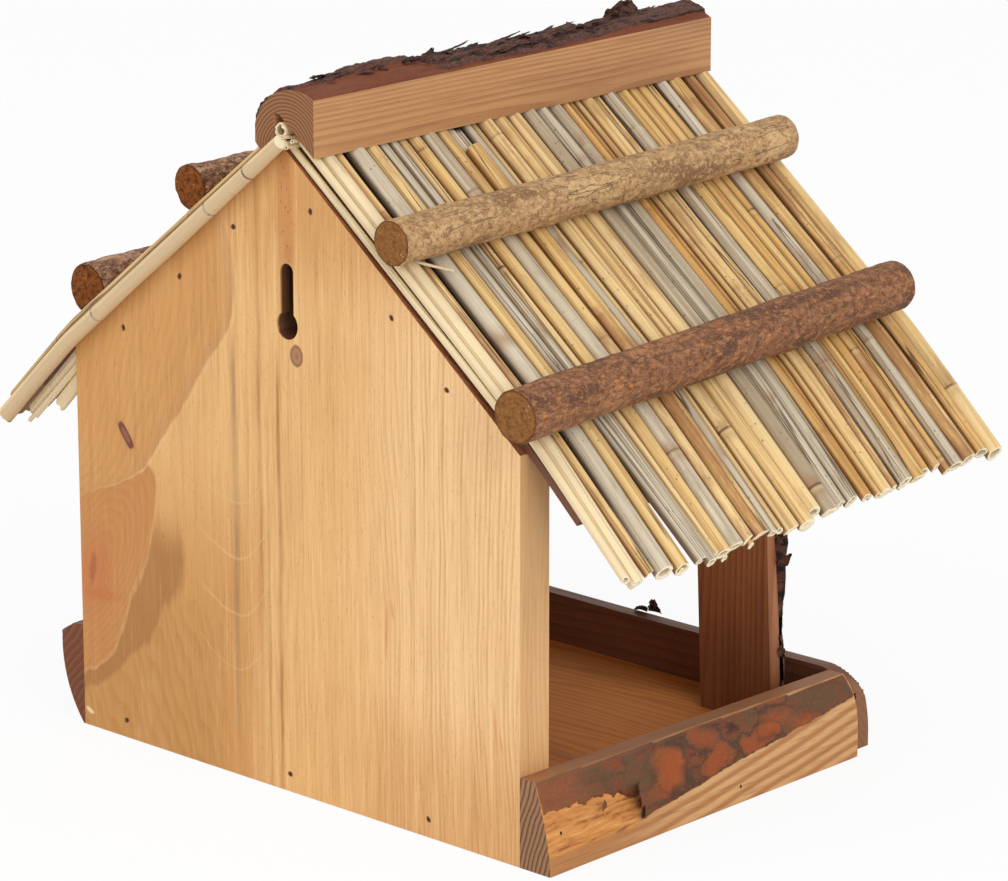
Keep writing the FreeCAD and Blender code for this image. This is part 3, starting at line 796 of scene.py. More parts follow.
@dataclass(frozen=True)
class HazelBark(Look):
    """Thin bark of a hazel rod, read along the rod."""

    name: str
    base: Colour
    pale: Colour
    dark: Colour
    fleck: Colour
    flecks: float = 0.6

    def cover(self, g: Graph) -> bpy.types.Material:
        """Lays out the nodes."""
        spot = g.kept("along_rod")
        lump = g.grain(spot, (75.0, 75.0, 30.0), 4.0, 0.6)
        mottle = g.grain(spot, (430.0, 430.0, 330.0), 5.0, 0.68)
        speck = g.grain(spot, (1500.0, 1500.0, 1100.0), 3.0, 0.65)
        twist = g.grain(spot, (110.0, 110.0, 42.0), 2.0)
        lines = g.grain(g.shift(g.stretch(spot, (170.0, 170.0, 22.0)),
                                g.join(twist, twist, twist * 1.5)), 1.0, 2.0)
        bark = g.ramp(lump, (0.37, self.dark), (0.47, self.base), (0.55, self.base),
                      (0.66, self.pale))
        chosen = g.grain(spot, (60.0, 60.0, 30.0), 2.0).step(0.46, 0.58)
        ridge = abs(lines - 0.5).step(0.014, 0.0) * chosen
        flecks = g.cells(spot, (330.0, 330.0, 150.0))
        where = g.grain(spot, (90.0, 90.0, 60.0), 2.0).step(0.45, 0.58)
        bark = g.coats(bark, (
            (mottle.step(0.51, 0.60) * 0.80, self.dark),
            (mottle.step(0.48, 0.38) * 0.75, self.pale),
            (speck.step(0.52, 0.66) * 0.60, self.dark),
            (speck.step(0.47, 0.33) * 0.60, self.pale),
            (ridge * 0.6, between(self.dark, paint(60, 34, 24))),
            (flecks.step(0.26, 0.12) * where * self.flecks, self.fleck)))
        height = lump * 0.4 + mottle * 0.6 + speck * 0.3 + ridge * -0.5
        return g.surface(bark, 0.66 + speck * 0.25, height, 0.0007)


@dataclass(frozen=True)
class CutEnd(Look):
    """The sawn end of a rod."""

    name: str
    wood: Colour
    ring: Colour
    rim: Colour
    pale: Colour
    coarse: float = 1.0

    def cover(self, g: Graph) -> bpy.types.Material:
        """Lays out the nodes."""
        spot = g.kept("along_rod")
        x, y, _ = g.split(spot)
        reach = (x * x + y * y) ** 0.5
        sway = g.grain(spot, (180.0, 180.0, 20.0), 3.0)
        edge = ((reach + (sway - 0.5) * 0.0030) / 0.0019).part()
        blotch = g.grain(spot, (420.0, 420.0, 20.0), 5.0, 0.7)
        saw = g.grain(g.join(x * 240.0, y * 1500.0, 0.0), 1.0, 3.0, 0.7)
        dots = g.cells(spot, (520.0, 520.0, 20.0)).step(0.16, 0.08) * sway.step(0.5, 0.6)
        outer = g.kept("rim_share", "Fac")
        wood = g.coats(self.wood, (
            (edge.step(0.4, 1.0) * 0.35, self.ring),
            (blotch.step(0.46, 0.66) * 0.65 * self.coarse, self.rim),
            (blotch.step(0.44, 0.30) * 0.45 * self.coarse, self.pale),
            (saw.step(0.52, 0.72) * 0.4 * self.coarse, self.rim),
            (saw.step(0.40, 0.26) * 0.4 * self.coarse, self.pale),
            (dots * 0.8, paint(222, 192, 150)),
            (outer.step(0.86, 0.98) * 0.85, self.rim)))
        return g.surface(wood, 0.75, saw * 0.6 + blotch * 0.5, 0.0004, {"Specular IOR Level": 0.15})


@dataclass(frozen=True)
class ReedSkin(Look):
    """Dry reed: straw yellow or grey, with joints, streaks and open ends."""

    name: str = "reed_skin"
    straw: Colour = paint(228, 186, 114)
    gold: Colour = paint(214, 158, 78)
    pale: Colour = paint(240, 208, 148)
    grey: Colour = paint(206, 191, 164)
    drab: Colour = paint(172, 153, 124)
    rust: Colour = paint(150, 88, 48)
    pith: Colour = paint(246, 232, 198)
    joint: Colour = paint(84, 52, 34)

    def cover(self, g: Graph) -> bpy.types.Material:
        """Lays out the nodes."""
        spot = g.kept("along_reed")
        facts = g.kept("reed_facts")
        seed, tone, inner = g.split(facts)
        joint, shade, bold = g.split(g.kept("reed_joint"))
        moved = g.shift(spot, g.join(0.0, 0.0, seed * 7.0))
        streak = g.grain(moved, (560.0, 560.0, 7.0), 4.0, 0.65)
        fine = g.grain(moved, (1900.0, 1900.0, 22.0), 2.0)
        blotch = g.grain(moved, (130.0, 130.0, 30.0), 4.0, 0.65)
        pick = (seed * 17.0 + shade * 0.22).part()
        yellow = g.ramp(pick, (0.0, self.gold), (0.30, self.straw), (0.70, self.pale),
                        (1.0, self.straw))
        dull = g.ramp(pick, (0.0, self.drab), (0.5, self.grey), (1.0, paint(206, 194, 172)))
        rusty = shade.step(0.80, 0.84) * blotch.step(0.36, 0.58) * tone.step(0.6, 0.3)
        specks = g.cells(moved, (420.0, 420.0, 260.0)).step(0.19, 0.06)
        chosen = g.grain(moved, (70.0, 70.0, 40.0), 2.0).step(0.50, 0.60)
        split = g.grain(moved, (300.0, 300.0, 5.0), 1.0)
        gash = abs(split - 0.5).step(0.016, 0.004) * (seed * 29.0).part().step(0.45, 0.55)
        ring = abs(joint + (blotch - 0.5) * 0.004)
        smudge = g.grain(moved, (160.0, 160.0, 90.0), 3.0).step(0.40, 0.60)
        below = (joint - 0.0014).near(0.0, 0.0018)
        _, up, _ = g.split(spot)
        reed = g.coats(yellow, (
            (tone.step(0.35, 0.65), dull),
            (streak.step(0.49, 0.62) * 0.80, g.mix(tone, paint(186, 138, 78), self.drab)),
            (streak.step(0.48, 0.36) * 0.60, g.mix(tone, self.pale, paint(228, 218, 196))),
            (blotch.step(0.52, 0.72) * 0.55, g.mix(tone, paint(172, 122, 66), paint(136, 116, 92))),
            (fine.step(0.52, 0.80) * 0.45, paint(134, 98, 58)),
            (rusty * 0.62, self.rust),
            (specks * chosen * 0.75, paint(92, 60, 38)),
            (gash * 0.8, paint(86, 56, 34)),
            (ring.step(0.0080, 0.0) * smudge * 0.55, paint(150, 100, 56)),
            (below * bold * 0.35, self.pale),
            # Painted shade: each reed below about 2 mm over its axis, by the gaps between reeds, is
            # darkened to orange-brown on straw reeds and grey-brown on grey ones.
            (up.step(0.0019, 0.0003) * 0.80, g.mix(tone, paint(140, 84, 34), paint(92, 76, 58))),
            (tone.step(-0.2, -0.6) * (streak * 0.5 + 0.5), paint(246, 226, 184)),
            (abs(joint).step(0.0008, 0.0002) * (smudge * 0.5 + 0.3) * bold, self.joint),
            # Cut faces and ends: pale pith at the rim, with painted shade turning it dark brown
            # deeper in the hollow.
            (inner.step(0.2, 0.5), g.mix(inner.step(0.6, 1.0), self.pith, paint(104, 68, 38)))))
        height = streak * 0.6 + fine * 0.4 + gash * -0.7
        return g.surface(reed, 0.46 + fine * 0.25, height, 0.0004, {"Specular IOR Level": 0.45})


@dataclass(frozen=True)
class SawnLip(Look):
    """The left lip's wood: pale stripes, a torn orange patch, and rings on its ends."""

    name: str = "sawn_lip"
    pale: Colour = paint(216, 168, 112)
    brown: Colour = paint(176, 118, 66)
    torn: Colour = paint(200, 130, 60)

    def cover(self, g: Graph) -> bpy.types.Material:
        """Lays out the nodes."""
        spot = g.place()
        x, y, z = g.split(spot)
        sway = g.grain(spot, (30.0, 9.0, 30.0), 3.0) - 0.5
        slope = (0.052 - y).most(0.0)
        lift = z - slope * 0.135 - (slope * slope) * 0.25
        edge = ((lift + sway * 0.006) / 0.0049).part()
        line = edge.step(0.12, 0.50) * edge.step(0.98, 0.72)
        fibre = g.grain(spot, (1300.0, 46.0, 1300.0), 3.0, 0.6)
        blotch = g.grain(spot, (160.0, 50.0, 160.0), 4.0, 0.6)
        splinters = g.grain(spot, (420.0, 55.0, 420.0), 4.0, 0.65, 0.5)
        torn = g.ramp(splinters, (0.32, paint(142, 72, 30)), (0.46, self.torn),
                      (0.60, paint(220, 152, 78)), (0.74, paint(236, 182, 110)))
        near = y.step(0.050, 0.062) * z.step(0.0055, 0.0085) * z.step(0.0275, 0.0250)
        sawn = g.coats(self.brown, (
            (line * y.step(0.09, 0.02) * 0.85 + 0.06, self.pale),
            (fibre.step(0.50, 0.72) * 0.5, paint(142, 90, 48)),
            (blotch.step(0.52, 0.74) * 0.4, paint(186, 108, 52)),
            (near * 0.92, torn)))
        out, depth, _ = g.facing()
        outside = (out * -1.0).step(0.25, 0.4)
        side_wood = g.mix(fibre.step(0.5, 0.8) * 0.5, paint(164, 110, 68), paint(112, 70, 44))
        ring = ((x * 0.94 + z * 0.30) / 0.0021 + sway * 3.0).part()
        stripe = ring.step(0.35, 0.9) * ring.step(1.0, 0.92)
        end_wood = g.mix(stripe, paint(160, 116, 76), paint(88, 54, 36))
        wood = g.coats(side_wood, (
            (outside * z.step(0.0350, 0.0325), sawn),
            (abs(depth).step(0.6, 0.85),
             g.mix(fibre.step(0.5, 0.8) * 0.3, end_wood, paint(90, 56, 36)))))
        return g.surface(wood, 0.56 + fibre * 0.2, fibre * 0.4 + splinters * near * 1.2, 0.0007)


@dataclass(frozen=True)
class DarkSteel(Look):
    """Dull wire of nails and brads."""

    name: str = "dark_steel"

    def cover(self, g: Graph) -> bpy.types.Material:
        """Lays out the nodes."""
        spots = g.grain(g.place(), (1800.0, 1800.0, 1800.0), 3.0)
        colour = g.ramp(spots, (0.35, paint(62, 50, 44)), (0.65, paint(112, 104, 98)))
        return g.surface(colour, 0.4 + spots * 0.25, spots, 0.00008, {"Metallic": 0.85})


def put(name: str, verts: np.ndarray, faces: Iterable[Sequence[int]],
        materials: Sequence[bpy.types.Material],
        picks: Optional[Sequence[int]] = None) -> bpy.types.Object:
    """Makes a smooth mesh piece that rides on the feeder.

    Args:
        name: The piece's name.
        verts: Its points.
        faces: Its faces.
        materials: Its materials.
        picks: Material of each face.

    Returns:
        The piece.
    """
    mesh = bpy.data.meshes.new(name)
    mesh.from_pydata([tuple(point) for point in verts], [], [tuple(face) for face in faces])
    for material in materials:
        mesh.materials.append(material)
    if picks is not None:
        mesh.polygons.foreach_set("material_index", list(picks))
    mesh.polygons.foreach_set("use_smooth", [True] * len(mesh.polygons))
    mesh.update()
    piece = bpy.data.objects.new(name, mesh)
    bpy.context.scene.collection.objects.link(piece)
    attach(piece, ROOT)
    return piece


def keep(piece: bpy.types.Object, name: str, values: np.ndarray) -> None:
    """Keeps a value at each point of a piece for its material.

    Args:
        piece: The piece.
        name: The value's name.
        values: One number or one vector for each point.
    """
    vector = values.ndim == 2
    kept = piece.data.attributes.new(name, "FLOAT_VECTOR" if vector else "FLOAT", "POINT")
    kept.data.foreach_set("vector" if vector else "value", values.astype(np.float32).ravel())


def tube_faces(rings: int, sides: int) -> list[tuple[int, ...]]:
    """Faces between rings of points that follow each other, and over the two ends.

    Args:
        rings: How many rings.
        sides: Points in a ring.

    Returns:
        The faces.
    """
    faces = []
    for near in range(0, (rings - 1) * sides, sides):
        for side in range(sides):
            after = (side + 1) % sides
            faces.append((near + side, near + after, near + sides + after, near + sides + side))
    last = (rings - 1) * sides
    return faces + [tuple(range(sides - 1, -1, -1)), tuple(range(last, last + sides))]


@dataclass
class Reed:
    """One dry reed, given by its ends and half sizes.

    Attributes:
        start: Middle of its first end.
        end: Middle of its other end, before it droops.
        across: The way of its width.
        out: The way of its height.
        half_width: Half its width.
        half_height: Half its height.
        seed: Changes its lumps, cuts and colours.
        tone: 1 for grey, 0 for straw yellow, less for a bare pale one.
        joints: Places of its joints along it.
        taper: How much thinner it starts.
        hollow_start: Whether its first end is open.
        hollow_end: Whether its other end is open.
        droop: How far its other end sinks.
        droop_from: Where it starts to sink.
        stray: How far its other end strays across.
        bow: How far its middle strays across.
        sides: Points around it.
        station: Length between two rings of points.
        wall_share: Share of its width that is hollow.
        bore: Depth of the hollow.
        bold: How much its joints show.
        ragged: How far its ends are torn.
    """

    start: Vector
    end: Vector
    across: Vector
    out: Vector
    half_width: float
    half_height: float
    seed: float
    tone: float
    joints: tuple[float, ...] = ()
    taper: float = 0.10
    hollow_start: bool = False
    hollow_end: bool = True
    droop: float = 0.0
    droop_from: float = 0.150
    stray: float = 0.0
    bow: float = 0.0
    sides: int = 14
    station: float = 3.6 * MM
    wall_share: float = 0.62
    bore: float = 9.0 * MM
    bold: float = 1.0
    ragged: float = 0.35 * MM

    def middle(self, mark: float) -> Vector:
        """Middle of the reed.

        Args:
            mark: Length from its start.

        Returns:
            The place.
        """
        length = (self.end - self.start).length
        share = mark / length
        past = max(0.0, (mark - self.droop_from) / max(0.001, length - self.droop_from))
        soft = past * past / (past + SOFT) * (1 + SOFT)
        place = self.start.lerp(self.end, share)
        lean = self.bow * math.sin(share * math.pi) + self.stray * smooth(share, 0.55, 1.15)
        return place + self.across * lean - self.out * (self.droop * soft)

    def marks(self, length: float) -> list[float]:
        """Where the rings of points lie."""
        steps = (-0.0040, -0.0018, -0.0007, -0.0002, 0.0003, 0.0009, 0.0025)
        found = set(np.arange(0.0008, length - 0.0008, self.station))
        for joint in self.joints:
            found.update(joint + step for step in steps)
        return sorted(mark for mark in found if 0.0006 < mark < length - 0.0008)

    def build(self) -> tuple[np.ndarray, list, np.ndarray, np.ndarray, np.ndarray]:
        """Shapes the reed.

        Returns:
            Points, faces, places along the reed, facts, and distances to the nearest joint.
        """
        chance = random.Random(self.seed)
        length = (self.end - self.start).length
        axis = (self.end - self.start).normalized()
        cut, cut_turn = chance.uniform(0.1, 0.7) * MM, chance.uniform(0, 6.28)
        crease = chance.uniform(0, 6.28)
        deep = chance.choice((0.0, 0.0, 0.05, 0.10, 0.16))
        shades = [chance.random() for _ in range(len(self.joints) + 1)]
        points, spots, facts, near = [], [], [], []

        def ring(mark: float, share: float, kind: float, tilt: float = 0.0) -> None:
            """Adds one ring of points."""
            middle = self.middle(mark)
            size = 1 - self.taper * (1 - mark / length)
            gap = min((mark - joint for joint in self.joints), key=abs, default=1.0)
            swell = 1 + 0.022 * self.bold * math.exp(-(gap / 0.0012) ** 2)
            swell += 0.022 * smooth(-gap, 0.0, 0.0004) * smooth(gap, -0.016, -0.004)
            segment = sum(1 for joint in self.joints if joint < mark)
            for side in range(self.sides):
                turn = 2 * math.pi * side / self.sides
                cos, sin = math.cos(turn), math.sin(turn)
                groove = 0.030 * noise.noise((cos * 2.2, sin * 2.2, self.seed * 50 + mark * 5))
                fold = math.exp(-(1 - math.cos(turn - crease)) * 14)
                groove -= deep * fold * smooth(math.sin(mark * 28 + self.seed * 9), -0.4, 0.4)
                reach = share * swell * size * (1 + groove)
                first, second = cos * self.half_width * reach, sin * self.half_height * reach
                rag = tilt * (cut * math.cos(turn - cut_turn)
                              + self.ragged * noise.noise((cos * 3, sin * 3,
                                                           self.seed * 90 + kind)))
                points.append(middle + self.across * first + self.out * second + axis * rag)
                spots.append((first, second, mark))
                facts.append((self.seed % 1.0, self.tone, kind))
                near.append((gap, shades[segment], self.bold))

        # The last number of each ring grows with depth in the hollow; the skin paints shade by it.
        hollow = ((0.0, self.wall_share + 0.04, 0.6), (0.0006, self.wall_share, 0.75),
                  (self.bore, self.wall_share * 0.95, 1.0), (self.bore, 0.2, 1.0))
        if self.hollow_start:
            for mark, share, kind in reversed(hollow):
                ring(mark, share, kind, -1.0 if mark < self.bore else 0.0)
        else:
            ring(0.0002, 0.4, 0.6, -1.0)
        ring(0.0, 0.96, 0.6, -1.0)
        ring(0.0004, 1.0, 0.0, -1.0)
        for mark in self.marks(length):
            ring(mark, 1.0, 0.0)
        ring(length - 0.0004, 1.0, 0.0, 1.0)
        ring(length, 0.96, 0.6, 1.0)
        if self.hollow_end:
            for mark, share, kind in hollow:
                ring(length - mark, share, kind, 1.0 if mark < self.bore else 0.0)
        else:
            ring(length + 0.0001, 0.55, 0.62, 1.0)
            ring(length - 0.0004, 0.2, 0.70, 1.0)
        faces = tube_faces(len(points) // self.sides, self.sides)
        return np.array(points), faces, np.array(spots), np.array(facts), np.array(near)


def put_reeds(name: str, reeds: Sequence[Reed], skin: bpy.types.Material) -> bpy.types.Object:
    """Makes one piece of some reeds.

    Args:
        name: The piece's name.
        reeds: The reeds.
        skin: Their material.

    Returns:
        The piece.
    """
    points, faces, spots, facts, near = [], [], [], [], []
    count = 0
    for reed in reeds:
        made = reed.build()
        points.append(made[0])
        faces.extend(tuple(corner + count for corner in face) for face in made[1])
        spots.append(made[2])
        facts.append(made[3])
        near.append(made[4])
        count += len(made[0])
    piece = put(name, np.concatenate(points), faces, [skin])
    keep(piece, "along_reed", np.concatenate(spots))
    keep(piece, "reed_facts", np.concatenate(facts))
    keep(piece, "reed_joint", np.concatenate(near))
    return piece


@dataclass
class Slope:
    """One slope of the roof, for placing things on it."""

    side: Side
    apex: float = 0.2564
    pitch: float = math.atan2(0.0964, 0.12)
    sag: float = 5.0 * MM
    sag_from: float = 0.150
    sag_end: float = 0.221

    @property
    def down(self) -> Vector:
        """The way down the slope."""
        return Vector((self.side.value * math.cos(self.pitch), 0.0, -math.sin(self.pitch)))

    @property
    def out(self) -> Vector:
        """The way out of the slope."""
        return Vector((self.side.value * math.sin(self.pitch), 0.0, math.cos(self.pitch)))

    def place(self, run: float, y: float, rise: float) -> Vector:
        """A point on or over the slope."""
        return Vector((0.0, y, self.apex)) + self.down * run + self.out * rise

    def drop(self, run: float) -> float:
        """How far the panel's free end has sunk at a run."""
        past = max(0.0, (run - self.sag_from) / (self.sag_end - self.sag_from))
        return self.sag * past * past / (past + SOFT) * (1 + SOFT)

    def reed(self, first: Point, last: Point, half_width: float, half_height: float, *facts: object,
             **more: object) -> Reed:
        """Lays a reed on the slope.

        Args:
            first: Run, depth and rise of its start.
            last: Those of its end.
            half_width: Half its width.
            half_height: Half its height.
            facts: What a Reed takes after these.
            more: The same by name.

        Returns:
            The reed.
        """
        return Reed(self.place(*first), self.place(*last), Vector((0.0, 1.0, 0.0)), self.out,
                    half_width, half_height, *facts, **more)


@dataclass
class Thatch:
    """The reeds of one slope.

    Attributes:
        side: The slope.
        bundles: How many bundles it has.
        seat: Height of the reeds' undersides over the board's slope.
        fullest: Largest height of a reed.
        slit: What each side of a reed leaves free.
        under: Share of a bundle's width that a reed below others takes, and its first run.
        short: Depth, reach and first run of the left reed that is cut short under the ridge.
    """

    side: Side
    bundles: int = 14
    seat: float = 3.05 * MM
    fullest: float = 8.6 * MM
    slit: float = 0.00017
    under: tuple[float, float] = (0.24, 0.020)
    short: Point = (0.0278, 0.0042, 0.0245)

    LAYOUTS = ((0.47, 0.32, 0.21), (0.49, 0.51, 0.0), (0.42, 0.58, 0.0), (0.37, 0.33, 0.30),
               (0.24, 0.46, 0.30), (0.52, 0.48, 0.0), (0.30, 0.22, 0.48), (0.45, 0.55, 0.0),
               (0.56, 0.44, 0.0))

    def span(self, node: str) -> tuple[float, float, float, float, float, float]:
        """Where a bundle's solid lies.

        Args:
            node: Name of the node.

        Returns:
            Rear and front edge, runs of its two ends, and the largest diameters there.
        """
        slope = Slope(self.side)
        points = np.array([vertex.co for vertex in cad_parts[node].data.vertices])
        arms = points - np.array((0.0, 0.0, slope.apex))
        runs, rises = arms @ np.array(slope.down), arms @ np.array(slope.out)
        near = 4.0 * MM
        top = rises[runs < runs.min() + near].max() - self.seat
        low = rises[runs > runs.max() - near].max() - self.seat
        return points[:, 1].max(), points[:, 1].min(), runs.min(), runs.max(), top, low

    def joints(self, length: float, chance: random.Random) -> tuple[float, ...]:
        """Places of the joints along a reed."""
        places = [chance.uniform(0.012, 0.13)]
        while places[-1] < length - 0.1:
            places.append(places[-1] + chance.uniform(0.09, 0.17))
        return tuple(place for place in places if place < length - 0.004)

    def tone(self, number: int) -> float:
        """How grey a reed is.

        Args:
            number: Its number from the rear.

        Returns:
            0 for straw yellow, 1 for grey.
        """
        chance = random.Random(number * 31 + self.side.value * 17)
        if self.side is Side.LEFT and number < 2:
            return -1.0
        if self.side is Side.RIGHT and number == 0:
            return 0.5
        grey = {Side.LEFT: (3, 6, 7, 10, 15, 20, 21, 22, 24, 30, 36),
                Side.RIGHT: (0, 3, 8, 9, 17, 22, 23, 31, 36, 37)}[self.side]
        return chance.uniform(0.75, 1.0) if number in grey else chance.uniform(0.0, 0.30)

    def fan(self, number: int) -> float:
        """How far a reed's tip strays towards the rear."""
        if self.side is Side.LEFT and number < 9:
            return (1.6, 1.0, 0.6, 0.3, -0.4, -5.6, -5.0, -3.4, -1.6)[number] * MM
        return random.Random(number * 77 + 3).uniform(-0.5, 0.5) * MM

    def bundle(self, number: int, tallest: tuple[float, float]) -> list[Reed]:
        """The reeds that stand for one bundle.

        Args:
            number: Number of the bundle, 1 at the rear.
            tallest: Largest diameters on the slope, at its top and foot.

        Returns:
            The reeds.
        """
        slope = Slope(self.side)
        rear, front, first_run, last_run, _, _ = self.span(f"{self.side.word}_thatch_{number:02d}")
        chance = random.Random(number * 13 + self.side.value * 5)
        layout = self.LAYOUTS[(number * 4 + (self.side is Side.RIGHT) * 3) % len(self.LAYOUTS)]
        reeds = []
        y = rear
        for order, share in enumerate(layout):
            index = (number - 1) * 3 + order
            width = (rear - front) * (share or self.under[0])
            lower = share == 0.0
            middle = rear - (rear - front) * layout[0] if lower else y - width / 2
            half = width / 2 - self.slit
            high = min(half, self.fullest / 2, tallest[1] / 2)
            start_run = first_run + chance.uniform(0.0, 1.5) * MM
            end_run = last_run - chance.uniform(-0.8, 3.4) * MM
            drop = chance.uniform(0.0, 0.7) * MM + max(0.0, 0.0030 - high) * 0.9
            rises = []
            for size in tallest:
                level = self.seat + high if lower else self.seat + size - high - drop
                rises.append(max(level, self.seat + high))
            if lower:
                start_run = self.under[1]
            if self.side is Side.LEFT and abs(middle - self.short[0]) < self.short[1] and not lower:
                deep = 2.6 * MM
                reeds.append(slope.reed((0.012, middle, self.seat + deep),
                                        (0.150, middle, self.seat + deep), half, deep, 3.31, 0.9,
                                        hollow_end=False))
                start_run = self.short[2]
                rises[0] += 1.5 * MM
            first = start_run, middle, rises[0] if not lower else rises[1]
            last = end_run, middle, rises[1]
            length = (slope.place(*last) - slope.place(*first)).length
            wall = chance.uniform(0.52, 0.70)
            seed = index * 1.37 + chance.random() + (self.side is Side.RIGHT) * 60.0
            sag = slope.sag * chance.uniform(0.85, 1.25) + (0.8 * MM if lower else 0.0)
            reeds.append(slope.reed(first, last, half, high, seed, self.tone(index),
                                    self.joints(length, chance), droop=sag,
                                    droop_from=slope.sag_from - start_run, stray=self.fan(index),
                                    bow=chance.uniform(-0.25, 0.25) * MM,
                                    hollow_end=chance.random() < 0.72, wall_share=wall,
                                    bold=chance.choice((0.0, 0.3, 0.6, 1.0)),
                                    taper=chance.uniform(0.04, 0.12)))
            if not lower:
                y -= width
        if number == 1:
            self.edge(slope, reeds)
        return reeds

    def edge(self, slope: Slope, reeds: list[Reed]) -> None:
        """Adds the odd reeds at the slope's rear edge to its first bundle.

        Args:
            slope: The slope.
            reeds: The bundle's reeds. The right one's first is changed for a long pale reed.
        """
        if self.side is Side.LEFT:
            reeds.append(slope.reed((0.0012, 0.1056, 1.7 * MM), (0.1385, 0.1056, 3.6 * MM),
                                    1.6 * MM, 1.6 * MM, 6.1, -1.0, bold=0.4, hollow_end=False))
            splinter = slope.reed((0.0685, 0.0990, 0.0098), (0.0785, 0.0885, 0.0128), 0.55 * MM,
                                  0.35 * MM, 7.3, -1.0, taper=-0.6, hollow_end=False,
                                  ragged=1.2 * MM)
            splinter.across = slope.down
            reeds.append(splinter)
            return
        reeds[0] = slope.reed((-0.0040, 0.1119, 1.7 * MM), (0.2064, 0.1119, 0.6 * MM), 3.5 * MM,
                              3.5 * MM, 3.9, -0.45, (0.0230, 0.0505, 0.1342), droop=4.6 * MM,
                              droop_from=0.154, taper=0.16, wall_share=0.5)
        reeds.append(slope.reed((0.004, 0.1040, 6.4 * MM), (0.2040, 0.1040, 6.6 * MM), 3.6 * MM,
                                3.3 * MM, 5.2, 0.1, (0.06, 0.16), droop=5.0 * MM, droop_from=0.146,
                                wall_share=0.6))
        for y, first, last, low, foot, thin, tone in (
                (0.1052, 157.5, 199.0, -3.3, -7.6, 2.1, -0.55),
                (0.1060, 157.5, 201.5, -6.2, -10.4, 0.9, -0.8),
                (0.1057, 157.5, 197.5, -7.1, -11.2, 0.8, -0.8),
                (0.1040, 160.6, 183.0, -10.4, -13.4, 3.1, -0.8)):
            reeds.append(slope.reed((first * MM, y, low * MM), (last * MM, y, foot * MM),
                                    min(thin, 1.3) * MM, thin * MM, y * 900, tone, droop_from=0.3,
                                    hollow_end=False, taper=-0.1, ragged=1.4 * MM))

    def make(self, skin: bpy.types.Material) -> None:
        """Builds the reeds and puts them in place of their nodes.

        Args:
            skin: The reeds' material.
        """
        spans = [self.span(f"{self.side.word}_thatch_{number:02d}")
                 for number in range(1, self.bundles + 1)]
        tallest = (max(span[4] for span in spans), max(span[5] for span in spans))
        count = 0
        for number in range(1, self.bundles + 1):
            reeds = self.bundle(number, tallest)
            piece = put_reeds(f"{self.side.word}_reeds_{number:02d}", reeds, skin)
            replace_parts(piece, f"{self.side.word}_thatch_{number:02d}")
            count += len(reeds)
        LOG.info("%s thatch: %d reeds", self.side.word, count)


@dataclass
class RidgeReed:
    """The hollow reed that closes the ridge, torn at its rear end."""

    node: str = "ridge_stalk"

    def make(self, skin: bpy.types.Material) -> None:
        """Builds the reed and the torn bits beside its end.

        Args:
            skin: The reeds' material.
        """
        low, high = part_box(self.node)
        x, z, half = (low.x + high.x) / 2, (low.z + high.z) / 2, (high.z - low.z) / 2
        across, out = Vector((1.0, 0.0, 0.0)), Vector((0.0, 0.0, 1.0))
        reed = Reed(Vector((x, high.y + 0.0006, z)), Vector((x, low.y, z)), across, out,
                    half * 0.97, half * 0.97, 5.7, -0.7, (0.07, 0.16), 0.0, True, True,
                    wall_share=0.72, ragged=1.3 * MM, bold=0.4, sides=24)
        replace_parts(put_reeds("ridge_reed", [reed], skin), self.node)
        bits = []
        plan = ((-0.0016, 0.2585, 0.0012, -0.4, 0.3), (-0.0042, 0.2578, 0.0009, 0.5, 0.1),
                (0.0008, 0.2572, 0.0010, 0.1, -0.5), (-0.0058, 0.2600, 0.0008, -0.7, 0.6),
                (-0.0030, 0.2606, 0.0007, 0.3, 0.9))
        for order, (bit_x, bit_z, size, lean, tip) in enumerate(plan):
            rear = Vector((bit_x + lean * 0.002, high.y + 0.0016 + order * 0.0003,
                           bit_z + tip * 0.0014))
            bits.append(Reed(rear, Vector((bit_x, high.y - 0.0070, bit_z)), across, out, size, size,
                             order * 2.1 + 0.4, -0.8, taper=0.0, hollow_start=True,
                             hollow_end=False, bore=2.0 * MM, ragged=0.9 * MM, sides=10))
        put_reeds("ridge_reed_bits", bits, skin)
        LOG.info("ridge reed: length %.0f mm", (high.y - low.y) / MM)


